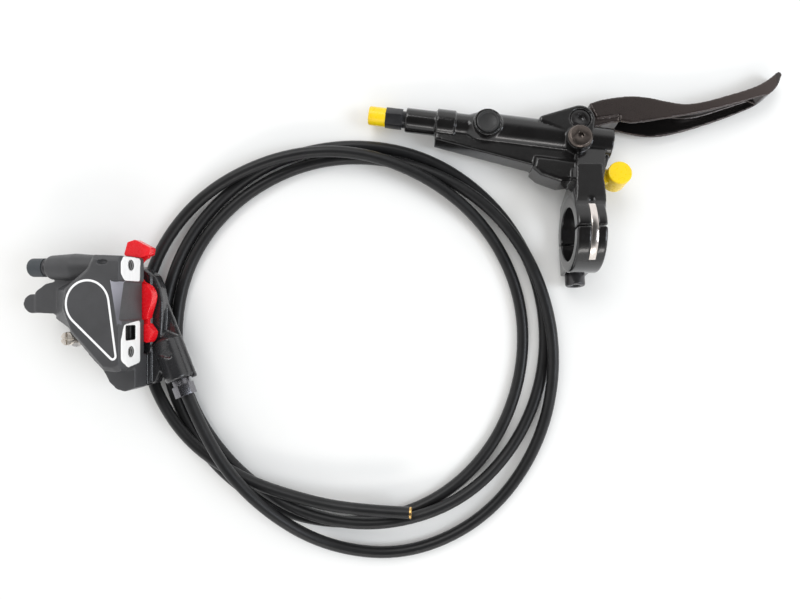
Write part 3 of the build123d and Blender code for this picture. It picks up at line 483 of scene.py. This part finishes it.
@dataclass(frozen=True)
class BladeCoat:
    """The blade's coat: satin with a painted sheen that grows browner and lighter towards the tip,
    duller the same way, glossy in the channel.
    """

    name: str = "blade_black"
    satin: Colour = (0.010, 0.0082, 0.0078)
    # painted sheen: the browner, lighter colour the satin takes on towards the tip
    tip_sheen: Colour = (0.022, 0.0140, 0.0120)
    satin_tint: Colour = (0.024, 0.0175, 0.0160)
    sheen_tint: Quad = (1.0, 0.84, 0.79, 1.0)
    gloss: Colour = (0.007, 0.0066, 0.0064)
    origin: Point = LEVER_PLACE
    tip: Point = (LEVER_TIP, 0.0, 0.0)
    flange: float = 3.95 * MM
    sheen_x: Span = (14.0 * MM, 84.0 * MM)
    tint_share: float = 0.4
    cloud: float = 70.0
    fine: float = 800.0
    grain: float = 2000.0
    coat: float = 0.3
    coat_roughness: float = 0.09
    roughness: Span = (0.24, 0.34)
    tipward_rougher: float = 0.06
    channel_smoother: float = 0.16
    depth: float = 0.006 * MM
    edge: float = 0.3 * MM

    def make(self) -> bpy.types.Material:
        """Builds the material."""
        graph = Graph(self.name)
        graph.set(
            Coat_Weight=self.coat, Coat_Roughness=self.coat_roughness,
            Specular_Tint=self.sheen_tint,
        )
        along, _, height = graph.axes(graph.mapped(self.origin, self.tip))
        channel = graph.inside(height, -self.flange, self.flange)
        # a ramp along the blade from root to tip; it lightens the colour as a painted sheen and
        # raises the roughness
        sheen_ramp = graph.spread(along, 0.0, 1.0, *self.sheen_x)
        satin = graph.blend(sheen_ramp, self.satin, self.tip_sheen)
        patches = graph.spread(graph.noise(self.cloud, *CLOUD), 0.0, self.tint_share)
        cloud = graph.blend(patches, satin, self.satin_tint)
        graph.colour(graph.blend(channel, cloud, self.gloss))
        rough = graph.spread(graph.noise(self.fine, *FINE), *self.roughness)
        rough = graph.math("ADD", rough, graph.math("MULTIPLY", sheen_ramp, self.tipward_rougher))
        smoother = graph.math("MULTIPLY", channel, self.channel_smoother)
        graph.rough(graph.math("SUBTRACT", rough, smoother))
        graph.relief(graph.noise(self.grain, *GRAIN), self.depth, self.edge)
        return graph.material


class Shelf:
    """Every finish of the brake, made once."""

    def __init__(self) -> None:
        """Makes the materials by name."""
        finishes: list[Any] = [
            Finish(
                "gloss_black", (0.006, 0.0055, 0.0055), (0.010, 0.0095, 0.0095), 0.19, 0.04,
                coat=0.3, grain=1400.0, depth=0.000005, edge=0.0003,
            ),
            OuterCasting(),
            BladeCoat(),
            Finish(
                "inner_black", (0.013, 0.013, 0.014), (0.021, 0.021, 0.0225), 0.27, 0.05,
                coat=0.5, grain=1400.0, depth=0.000005, edge=0.0003,
            ),
            Finish(
                "nut_black", (0.018, 0.018, 0.020), (0.04, 0.04, 0.043), 0.34,
                metallic=0.4, grain=1800.0, edge=0.00015,
            ),
            Finish(
                "plug_black", (0.012, 0.012, 0.012), (0.018, 0.018, 0.018), 0.42, 0.06,
                grain=2400.0,
            ),
            Finish("piston_resin", (0.05, 0.04, 0.035), (0.07, 0.06, 0.05), 0.5, grain=1500.0),
            Finish("bearing_plastic", (0.08, 0.08, 0.08), (0.1, 0.1, 0.1), 0.5, grain=1500.0),
            Finish(
                "friction_lining", (0.09, 0.075, 0.065), (0.2, 0.17, 0.14), 0.8,
                grain=2500.0, depth=0.00006, patch=1800.0, edge=0.0,
            ),
            Finish(
                "seal_rubber", (0.012, 0.012, 0.012), (0.02, 0.02, 0.02), 0.6,
                grain=1200.0, edge=0.0,
            ),
            Finish(
                "cap_rubber", (0.03, 0.037, 0.043), (0.05, 0.056, 0.062), 0.55, 0.06,
                grain=1600.0, depth=0.00002, edge=0.0004,
            ),
            Finish(
                "black_steel", (0.05, 0.05, 0.054), (0.085, 0.083, 0.085), 0.36,
                metallic=0.7, grain=1800.0, edge=0.00015,
            ),
            Finish(
                "bleed_bronze", (0.060, 0.050, 0.045), (0.15, 0.125, 0.11), 0.22, 0.06,
                metallic=0.85, grain=1800.0,
            ),
            TurnedMetal("bright_steel", (0.62, 0.61, 0.6), (0.78, 0.76, 0.74), 0.26, density=900.0),
            TurnedMetal(
                "axle_silver", (0.60, 0.55, 0.49), (0.78, 0.73, 0.66), 0.34, density=900.0,
            ),
            TurnedMetal(
                "nut_steel", (0.15, 0.15, 0.165), (0.20, 0.195, 0.205), 0.24, density=2600.0,
            ),
            TurnedMetal(
                "strap_steel", (0.72, 0.66, 0.62), (0.84, 0.78, 0.74), 0.16,
                lines=(0.05, 1.0, 1.0), density=400.0,
            ),
            TurnedMetal(
                "machined_aluminium", (0.72, 0.72, 0.74), (0.84, 0.84, 0.85), 0.32,
                lines=(1.0, 0.1, 1.0),
            ),
            TurnedMetal("brass", (0.55, 0.33, 0.1), (0.75, 0.5, 0.2), 0.28),
            Moulding("yellow_plastic", (0.82, 0.56, 0.0), (0.88, 0.62, 0.002)),
            Moulding("red_plastic", (0.76, 0.004, 0.012), (0.86, 0.012, 0.02), 0.26),
            Finish(
                "line_white", (0.8, 0.8, 0.8), (0.86, 0.86, 0.86), 0.5, grain=2000.0, edge=0.0,
            ),
            HoseJacket(),
        ]
        self.materials = {finish.name: finish.make() for finish in finishes}
        parts = frame["record"]["subparts"]
        self.slots = {part["node"]: part["material_slot"] for part in parts}

    def dress(self, piece: bpy.types.Object, name: str) -> None:
        """Gives a piece one finish.

        Args:
            piece: A mesh or curve.
            name: The finish's name.
        """
        piece.data.materials.clear()
        piece.data.materials.append(self.materials[name])


class Bench:
    """Small modelling moves with Blender's own operators."""

    @staticmethod
    def clear() -> None:
        """Deselects everything."""
        bpy.ops.object.select_all(action="DESELECT")

    @staticmethod
    def take(piece: bpy.types.Object) -> None:
        """Selects one piece and makes it active."""
        Bench.clear()
        piece.select_set(True)
        bpy.context.view_layer.objects.active = piece

    @staticmethod
    def copy(node: str, name: str) -> bpy.types.Object:
        """Copies a CAD solid and selects the copy.

        Args:
            node: The solid's node.
            name: The copy's name.

        Returns:
            The copy.
        """
        piece = bpy.data.objects.new(name, frame["nodes"][node].data.copy())
        bpy.context.scene.collection.objects.link(piece)
        Bench.take(piece)
        return piece

    @staticmethod
    def open_all(piece: bpy.types.Object) -> None:
        """Opens a piece's mesh in edit mode with everything selected."""
        Bench.take(piece)
        bpy.ops.object.mode_set(mode="EDIT")
        bpy.ops.mesh.select_all(action="SELECT")

    @staticmethod
    def settle(piece: bpy.types.Object) -> None:
        """Puts a piece's place, turn and size into its mesh."""
        Bench.take(piece)
        bpy.ops.object.transform_apply(location=True, rotation=True, scale=True)

    @staticmethod
    def finish(piece: bpy.types.Object, kind: str, **settings: Any) -> None:
        """Adds one modifier to a piece and applies it.

        Args:
            piece: The piece.
            kind: The modifier's type.
            settings: The modifier's values.
        """
        Bench.take(piece)
        modifier = piece.modifiers.new(kind.lower(), kind)
        for name, value in settings.items():
            setattr(modifier, name, value)
        bpy.ops.object.modifier_apply(modifier=modifier.name)

    @staticmethod
    def weld(piece: bpy.types.Object, gap: float) -> None:
        """Joins points that lie closer than a gap and takes out the faces without area.

        Args:
            piece: The piece.
            gap: The distance in metres.
        """
        Bench.open_all(piece)
        bpy.ops.mesh.remove_doubles(threshold=gap)
        bpy.ops.mesh.dissolve_degenerate(threshold=gap)
        bpy.ops.object.mode_set(mode="OBJECT")


class Axes:
    """The own axes of the lever, its cylinder, the caliper and its union."""

    LEVER = (
        Matrix.Translation(LEVER_PLACE)
        @ Matrix.Rotation(math.radians(LEVER_TIP), 4, "X")
    )
    BARREL = (
        LEVER @ Matrix.Translation((-73.2 * MM, 51.5 * MM, 0.0))
        @ Matrix.Rotation(math.radians(-7.57), 4, "Z")
    )
    CALIPER = (
        Matrix.Translation(CALIPER_PLACE)
        @ Matrix.Rotation(math.radians(CALIPER_TIP), 4, "Y")
    )
    UNION = (
        CALIPER @ Matrix.Translation((13.2 * MM, -37.3 * MM, -7.4 * MM))
        @ Matrix.Rotation(math.radians(-68.0), 4, "Z")
    )


@dataclass(frozen=True)
class Recess:
    """A small oval hollow in a casting's face."""

    axes: Matrix
    place: Point
    half_sizes: Point

    def cut(self, piece: bpy.types.Object) -> None:
        """Sinks the hollow into a piece.

        Args:
            piece: The casting's mesh, still sharp.
        """
        Bench.clear()
        bpy.ops.mesh.primitive_cylinder_add(vertices=40, radius=1.0, depth=2.0)
        cutter = bpy.context.object
        size = Matrix.Diagonal((*self.half_sizes, 1.0))
        cutter.matrix_world = self.axes @ Matrix.Translation(self.place) @ size
        Bench.settle(cutter)
        Bench.finish(piece, "BOOLEAN", object=cutter, operation="DIFFERENCE", solver="EXACT")
        bpy.data.objects.remove(cutter, do_unlink=True)


@dataclass(frozen=True)
class Ridge:
    """A flat-topped ridge that is cast on a piece, drawn through three sections.

    Each row of numbers holds one value for each section.
    """

    axes: Matrix
    stations: Point
    left: Point
    right: Point
    top: Point
    bottom: Point
    notch: Recess

    def add(self, piece: bpy.types.Object) -> None:
        """Draws the ridge out in two lengths, cuts its notch and joins it to a piece.

        Args:
            piece: The casting's mesh, still sharp.
        """
        Bench.clear()
        bpy.ops.mesh.primitive_cube_add(size=1.0, location=(0.0, 0.5, 0.0))
        ridge = bpy.context.object
        Bench.settle(ridge)
        bpy.ops.object.mode_set(mode="EDIT")
        bpy.ops.mesh.select_mode(type="FACE")
        bpy.ops.mesh.select_all(action="DESELECT")
        bpy.ops.object.mode_set(mode="OBJECT")
        for face in ridge.data.polygons:
            face.select = round(face.normal.y) == 1
        bpy.ops.object.mode_set(mode="EDIT")
        bpy.ops.mesh.extrude_region_move(TRANSFORM_OT_translate={"value": (0.0, 1.0, 0.0)})
        bpy.ops.object.mode_set(mode="OBJECT")
        for point in ridge.data.vertices:
            station = round(point.co.y)
            x = self.right[station] if point.co.x > 0 else self.left[station]
            z = self.top[station] if point.co.z > 0 else self.bottom[station]
            point.co = self.axes @ Vector((x, self.stations[station], z))
        self.notch.cut(ridge)
        Bench.take(ridge)
        piece.select_set(True)
        bpy.context.view_layer.objects.active = piece
        bpy.ops.object.join()


NECK_RIDGE = Ridge(
    Axes.LEVER,
    stations=(4.0 * MM, 12.0 * MM, 26.5 * MM),
    left=(-5.2 * MM, -5.0 * MM, -4.0 * MM),
    right=(6.0 * MM, 7.0 * MM, 6.4 * MM),
    top=(13.5 * MM, 12.9 * MM, 12.4 * MM),
    bottom=(12.4 * MM, 5.5 * MM, -5.0 * MM),
    notch=Recess(Axes.LEVER, (0.8 * MM, 10.6 * MM, 13.2 * MM), (1.3 * MM, 1.2 * MM, 2.2 * MM)),
)


@dataclass
class Casting:
    """A cast or forged piece whose edges are rounded as the foundry leaves them."""

    node: str
    name: str
    finish: str
    body: Body = Body.BRAKE
    voxel: float = 0.36 * MM
    rounds: int = 5
    relax: float = 0.5
    recesses: tuple[Recess, ...] = ()
    ridge: Ridge | None = None

    def build(self, shelf: Shelf) -> bpy.types.Object:
        """Rounds a copy of the CAD solid and puts it in the solid's place.

        Args:
            shelf: The finishes.

        Returns:
            The rounded piece.
        """
        piece = Bench.copy(self.node, self.name)
        Bench.open_all(piece)
        bpy.ops.mesh.remove_doubles(threshold=CAD_GAP)
        bpy.ops.object.mode_set(mode="OBJECT")
        for recess in self.recesses:
            recess.cut(piece)
        if self.ridge:
            self.ridge.add(piece)
        Bench.finish(piece, "REMESH", mode="VOXEL", voxel_size=self.voxel, adaptivity=0.0)
        Bench.finish(piece, "SMOOTH", factor=self.relax, iterations=self.rounds)
        bpy.ops.object.shade_smooth()
        shelf.dress(piece, self.finish)
        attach(piece, self.body.value)
        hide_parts(self.node)
        return piece


@dataclass(frozen=True)
class Narrowing:
    """A length of a turned piece that is drawn in towards its axis."""

    axes: Matrix
    reach: Span
    least: float
    factor: float

    def apply(self, piece: bpy.types.Object) -> None:
        """Draws in the points of the length that lie outside the least radius."""
        back = self.axes.inverted()
        start, end = self.reach
        for point in piece.data.vertices:
            x, y, z = back @ point.co
            if start < x < end and math.hypot(y, z) > self.least:
                point.co = self.axes @ Vector((x, y * self.factor, z * self.factor))


@dataclass(frozen=True)
class LobeShape:
    """The wave-like edge of the spacer's lobes, which the CAD's ovals only rough out."""

    axes: Matrix
    root: float
    shares: tuple[Span, ...]

    def share(self, y: float) -> float:
        """Reads the share of the oval's reach that is left at a height along the lobes.

        Args:
            y: The height in the caliper's axes, in metres.

        Returns:
            The share, between the two nearest entries.
        """
        for (low, first), (high, second) in zip(self.shares, self.shares[1:]):
            if low <= y <= high:
                return first + (second - first) * (y - low) / (high - low)
        return self.shares[0][1] if y < self.shares[0][0] else self.shares[-1][1]

    def apply(self, piece: bpy.types.Object) -> None:
        """Draws the lobes' points in towards the root line."""
        back = self.axes.inverted()
        for point in piece.data.vertices:
            x, y, z = back @ point.co
            if x > self.root:
                drawn_in = self.root + (x - self.root) * self.share(y)
                point.co = self.axes @ Vector((drawn_in, y, z))


@dataclass
class Machined:
    """A turned, pressed or moulded piece whose real edges are broken by a small bevel."""

    node: str
    name: str
    finish: str
    width: float = 0.2 * MM
    body: Body = Body.BRAKE
    recesses: tuple[Recess, ...] = ()
    shaping: Narrowing | LobeShape | None = None

    def build(self, shelf: Shelf) -> bpy.types.Object:
        """Bevels a copy of the CAD solid and puts it in the solid's place.

        Args:
            shelf: The finishes.

        Returns:
            The bevelled piece.
        """
        piece = Bench.copy(self.node, self.name)
        Bench.open_all(piece)
        bpy.ops.mesh.remove_doubles(threshold=CAD_GAP)
        bpy.ops.mesh.dissolve_limited(angle_limit=FLAT)
        bpy.ops.object.mode_set(mode="OBJECT")
        for recess in self.recesses:
            recess.cut(piece)
        if self.shaping:
            self.shaping.apply(piece)
        Bench.finish(
            piece, "BEVEL", width=self.width, segments=2, limit_method="ANGLE",
            angle_limit=SHARP, use_clamp_overlap=True, harden_normals=False,
        )
        Bench.weld(piece, BEVEL_GAP)
        bpy.ops.object.shade_smooth_by_angle(angle=SHARP)
        shelf.dress(piece, self.finish)
        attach(piece, self.body.value)
        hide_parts(self.node)
        return piece


@dataclass
class ReturnSpring:
    """The coil spring in the cylinder."""

    node: str = "return_spring"
    joint: str = "master_piston_slide"
    fixed_end: float = 33.403 * MM
    free_end: float = 50.597 * MM
    stroke: float = 2.42 * MM

    def build(self, shelf: Shelf) -> bpy.types.Object:
        """Copies the spring and hangs it on the brake.

        Args:
            shelf: The finishes.

        Returns:
            The spring.
        """
        coil = Bench.copy(self.node, "cylinder_spring")
        bpy.ops.object.shade_smooth_by_angle(angle=COIL_SHARP)
        shelf.dress(coil, shelf.slots[self.node])
        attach(coil, Body.BRAKE.value)
        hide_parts(self.node)
        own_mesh(coil)
        return coil


@dataclass
class DropLine:
    """The plain white line printed round the raised cylinder of the caliper.

    Head and foot are the drop's two circles: x, y and radius in the caliper's axes.
    """

    face: float = 20.0 * MM
    head: Point = (-13.6 * MM, 1.9 * MM, 9.0 * MM)
    foot: Point = (-2.95 * MM, -18.1 * MM, 1.25 * MM)
    half_width: float = 0.42 * MM
    lift: float = 0.01 * MM
    thickness: float = 0.03 * MM
    head_steps: int = 40
    foot_steps: int = 10

    def outline(self, extra: float) -> list[Vector]:
        """Walks round the drop at a distance from its middle line.

        Args:
            extra: How far outside the middle line, in metres.

        Returns:
            The points, in the caliper's axes.
        """
        head, foot = Vector(self.head[:2]), Vector(self.foot[:2])
        large, small = self.head[2] + extra, self.foot[2] + extra
        axis = foot - head
        lean = math.acos((large - small) / axis.length)
        heading = math.atan2(axis.y, axis.x)
        walk: list[Vector] = []
        for step in range(self.head_steps + 1):
            turn = heading + lean + (2 * math.pi - 2 * lean) * step / self.head_steps
            walk.append(head + large * Vector((math.cos(turn), math.sin(turn))))
        for step in range(self.foot_steps + 1):
            turn = heading - lean + 2 * lean * step / self.foot_steps
            walk.append(foot + small * Vector((math.cos(turn), math.sin(turn))))
        return walk

    def build(self, shelf: Shelf) -> bpy.types.Object:
        """Fills the band between the line's two edges and gives it a coat's thickness.

        Args:
            shelf: The finishes.

        Returns:
            The line.
        """
        mesh = bpy.data.meshes.new("caliper_line")
        line = bpy.data.objects.new("caliper_line", mesh)
        bpy.context.scene.collection.objects.link(line)
        shape = bmesh.new()
        inner, outer = (
            [
                shape.verts.new((p.x, p.y, self.face + self.lift))
                for p in self.outline(side * self.half_width)
            ]
            for side in (-1, 1)
        )
        count = len(inner)
        for here in range(count):
            after = (here + 1) % count
            shape.faces.new((inner[here], outer[here], outer[after], inner[after]))
        shape.to_mesh(mesh)
        shape.free()
        line.matrix_world = Axes.CALIPER
        Bench.settle(line)
        Bench.finish(line, "SOLIDIFY", thickness=self.thickness, offset=1.0)
        Bench.open_all(line)
        bpy.ops.mesh.normals_make_consistent(inside=False)
        bpy.ops.object.mode_set(mode="OBJECT")
        shelf.dress(line, "line_white")
        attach(line, Body.BRAKE.value)
        return line


@dataclass
class Hose:
    """The hose's one smooth line, from the caliper's union to its free end."""

    radius: float = 2.5 * MM
    length: float = 1.69
    points: tuple[Point, ...] = (
        (-0.10025, -0.05519, 0.01488), (-0.08731, -0.08764, 0.01693), (-0.06617, -0.11542, 0.01380),
        (-0.03735, -0.13684, 0.00450), (-0.00064, -0.14098, 0.00250), (0.03469, -0.12353, 0.00250),
        (0.05759, -0.09003, 0.00300), (0.06290, -0.04970, 0.00780), (0.05265, -0.01178, 0.00800),
        (0.03018, 0.01618, 0.00770), (-0.00297, 0.03289, 0.00360), (-0.04141, 0.03423, 0.00250),
        (-0.07595, 0.01778, 0.00250), (-0.09883, -0.01050, 0.00250), (-0.10555, -0.04689, 0.00250),
        (-0.09598, -0.07979, 0.00250), (-0.07463, -0.10668, 0.00270), (-0.04577, -0.12179, 0.00860),
        (-0.01298, -0.12625, 0.00900), (0.02165, -0.11646, 0.00620), (0.04721, -0.09145, 0.00250),
        (0.05958, -0.05711, 0.00250), (0.05665, -0.01994, 0.00250), (0.03783, 0.01323, 0.00250),
        (0.00602, 0.03581, 0.00250), (-0.03303, 0.04095, 0.00250), (-0.07060, 0.02911, 0.00250),
        (-0.09930, 0.00035, 0.00250), (-0.11103, -0.03609, 0.00250), (-0.10537, -0.07272, 0.00250),
        (-0.08661, -0.10317, 0.00250), (-0.05636, -0.12334, 0.00250), (-0.02238, -0.12765, 0.00250),
        (0.01105, -0.11769, 0.00250), (0.03598, -0.09408, 0.00250), (0.04898, -0.06143, 0.00250),
        (0.04854, -0.02719, 0.00250), (0.03361, 0.00316, 0.00440), (0.00785, 0.02430, 0.00960),
        (-0.02510, 0.03680, 0.00840), (-0.06046, 0.03361, 0.00900), (-0.09531, 0.01577, 0.00480),
        (-0.11719, -0.01618, 0.00250), (-0.11897, -0.05462, 0.00250), (-0.10168, -0.08541, 0.00820),
        (-0.07625, -0.10455, 0.00850), (-0.05076, -0.11321, 0.00980), (-0.02630, -0.11819, 0.01100),
        (-0.00133, -0.11872, 0.01320),
    )

    def build(self, shelf: Shelf) -> bpy.types.Object:
        """Args:
            shelf: The finishes.

        Returns:
            The hose's curve.
        """
        curve = bpy.data.curves.new("hose_line", "CURVE")
        curve.dimensions = "3D"
        curve.bevel_depth = self.radius
        curve.bevel_resolution = 5
        curve.resolution_u = 10
        curve.use_fill_caps = True
        spline = curve.splines.new("NURBS")
        spline.points.add(len(self.points) - 1)
        for knot, place in zip(spline.points, self.points):
            knot.co = (*place, 1.0)
        spline.order_u = 3
        spline.use_endpoint_u = True
        hose = bpy.data.objects.new("brake_hose", curve)
        bpy.context.scene.collection.objects.link(hose)
        shelf.dress(hose, "hose_black")
        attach(hose, Body.BRAKE.value)
        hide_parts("hose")
        return hose


@dataclass
class Studio:
    """The pale table, the soft light and the camera straight above."""

    camera_at: Point = (-0.0053, -0.0283, 0.2844)
    lens: float = 28.8
    table: Colour = (0.93, 0.93, 0.925)
    table_seen: Colour = (0.83, 0.83, 0.818)
    table_mottle: float = 0.985
    table_grain: float = 40.0
    table_half: float = 3.0
    sky: float = 0.80
    ring: float = 1.05
    ring_height: float = 0.5
    overhead: float = 0.05
    overhead_height: float = 0.9
    lamps: tuple[tuple[str, Point, Span, float, Colour], ...] = (
        ("window_light", (-0.50, 0.90, 1.30), (1.0, 0.70), 8.8, (1.0, 1.0, 1.0)),
        ("side_light", (1.00, -0.20, 1.00), (0.60, 0.60), 6.8, (0.86, 0.92, 1.0)),
        ("front_light", (0.20, -1.24, 0.92), (1.00, 0.24), 3.6, (1.0, 0.97, 0.94)),
    )

    def build(self) -> None:
        """Makes the table, the lamps and the camera."""
        self.make_table()
        self.make_light()
        self.make_camera()

    def make_table(self) -> None:
        """Lays the pale table under the brake, a little darker to the camera than to the light."""
        Bench.clear()
        bpy.ops.mesh.primitive_plane_add(size=2 * self.table_half, location=(0, 0, 0))
        table = bpy.context.object
        table.name = "table_top"
        Bench.settle(table)
        graph = Graph("table_white")
        paper = graph.noise(self.table_grain)
        tint = tuple(c * self.table_mottle for c in self.table_seen)
        seen = graph.blend(graph.spread(paper, 0.0, 1.0), self.table_seen, tint)
        ray = graph.tree.nodes.new("ShaderNodeLightPath")
        graph.colour(graph.blend(ray.outputs["Is Camera Ray"], self.table, seen))
        graph.set(Roughness=0.7, Specular_IOR_Level=0.2)
        table.data.materials.append(graph.material)

    def make_light(self) -> None:
        """Sets the even sky and the three large soft lamps."""
        bpy.context.scene.world = self.make_sky()
        for name, place, sides, power, tint in self.lamps:
            lamp = bpy.data.lights.new(name, "AREA")
            lamp.shape = "RECTANGLE"
            lamp.size, lamp.size_y = sides
            lamp.energy = power
            lamp.color = tint
            window = bpy.data.objects.new(name, lamp)
            window.location = place
            window.rotation_euler = (-window.location).to_track_quat("-Z", "Y").to_euler()
            bpy.context.scene.collection.objects.link(window)

    def make_sky(self) -> bpy.types.World:
        """Makes an even sky that is dim overhead in reflections.

        Returns:
            The world.
        """
        world = bpy.data.worlds.new("studio_sky")
        world.use_nodes = True
        tree = world.node_tree
        background = tree.nodes["Background"]
        background.inputs["Color"].default_value = (1.0, 1.0, 1.0, 1.0)
        way = tree.nodes.new("ShaderNodeTexCoord")
        split = tree.nodes.new("ShaderNodeSeparateXYZ")
        tree.links.new(way.outputs["Generated"], split.inputs[0])
        fall = tree.nodes.new("ShaderNodeMapRange")
        fall.interpolation_type = "SMOOTHSTEP"
        for name, value in (
            ("From Min", self.ring_height), ("From Max", self.overhead_height),
            ("To Min", self.ring), ("To Max", self.overhead),
        ):
            fall.inputs[name].default_value = value
        tree.links.new(split.outputs[2], fall.inputs["Value"])
        ray = tree.nodes.new("ShaderNodeLightPath")
        choose = tree.nodes.new("ShaderNodeMix")
        choose.data_type = "FLOAT"
        choose.inputs[2].default_value = self.sky
        tree.links.new(ray.outputs["Is Glossy Ray"], choose.inputs[0])
        tree.links.new(fall.outputs["Result"], choose.inputs[3])
        tree.links.new(choose.outputs[0], background.inputs["Strength"])
        return world

    def make_camera(self) -> None:
        """Hangs the camera over the set, looking straight down."""
        lens = bpy.data.cameras.new("photo_camera")
        lens.lens = self.lens
        lens.sensor_width = 36.0
        lens.clip_start = 0.01
        camera = bpy.data.objects.new("photo_camera", lens)
        camera.location = self.camera_at
        bpy.context.scene.collection.objects.link(camera)
        bpy.context.scene.camera = camera
        bpy.context.scene.view_settings.view_transform = "Standard"


@dataclass
class CadDress:
    """The CAD nodes that stay as they are, each with its finish."""

    nodes: list[str] = field(default_factory=lambda: sorted(frame["nodes"]))

    def build(self, shelf: Shelf) -> int:
        """Gives each node the finish that its record names.

        Args:
            shelf: The finishes.

        Returns:
            How many nodes were dressed.
        """
        for name in self.nodes:
            shelf.dress(frame["nodes"][name], shelf.slots[name])
        return len(self.nodes)


CASTINGS = (
    Casting("lever_body", "lever_casting", "gloss_black", ridge=NECK_RIDGE),
    Casting("clamp_cap", "clamp_casting", "gloss_black"),
    Casting("lever_blade", "blade_forging", "blade_black", Body.LEVER, rounds=8),
    Casting(
        "caliper_outer_half", "outer_casting", "satin_grey", rounds=3,
        recesses=(
            Recess(
                Axes.CALIPER, (-7.5 * MM, 18.0 * MM, 20.0 * MM), (2.3 * MM, 0.85 * MM, 1.3 * MM),
            ),
        ),
    ),
    Casting("caliper_inner_half", "inner_casting", "inner_black", rounds=7),
)

SPACER_LOBES = LobeShape(
    Axes.CALIPER,
    root=0.5 * MM,
    shares=(
        (-14.5 * MM, 0.80), (-9.6 * MM, 0.92), (-5.6 * MM, 0.10),
        (-4.6 * MM, 0.05), (-1.0 * MM, 0.42), (5.2 * MM, 1.0),
    ),
)

MACHINED = (
    Machined("clamp_bolt", "clamp_screw", "black_steel", 0.25 * MM),
    Machined("pivot_pin", "lever_pin", "gloss_black", 0.25 * MM),
    Machined("reservoir_plug", "flush_plug", "plug_black", 0.25 * MM),
    Machined("bleed_screw", "bevelled_screw", "bleed_bronze", 0.15 * MM),
    Machined("port_nut", "waiting_nut", "nut_black", 0.3 * MM),
    Machined("pad_axle", "axle_screw", "axle_silver"),
    Machined("body_bolts", "joining_screws", "black_steel"),
    Machined("bleed_nipple", "nipple", "black_steel"),
    Machined("clamp_strap", "strap", "strap_steel", 0.12 * MM),
    Machined(
        "pad_spacer", "red_spacer", "red_plastic", 0.35 * MM,
        recesses=(
            Recess(Axes.CALIPER, (1.0 * MM, 15.2 * MM, 0.0), (4.4 * MM, 5.3 * MM, 4.0 * MM)),
        ),
        shaping=SPACER_LOBES,
    ),
    Machined(
        "union_nut", "hose_nut", "nut_steel", 0.3 * MM,
        shaping=Narrowing(Axes.UNION, (-5.6 * MM, 0.0), 3.0 * MM, 0.87),
    ),
)


def main() -> None:
    """Builds every sub-assembly in order and reports it."""
    logging.basicConfig(level=logging.INFO, format="%(name)s: %(message)s")
    shelf = Shelf()
    Studio().build()
    LOG.info("hose %s", Hose().build(shelf).name)
    LOG.info("dressed %d nodes", CadDress().build(shelf))
    for maker in CASTINGS + MACHINED:
        piece = maker.build(shelf)
        LOG.info("%s: %d faces", piece.name, len(piece.data.polygons))
    LOG.info("line %s", DropLine().build(shelf).name)
    LOG.info("spring %s", ReturnSpring().build(shelf).name)


if __name__ == "__main__":
    main()
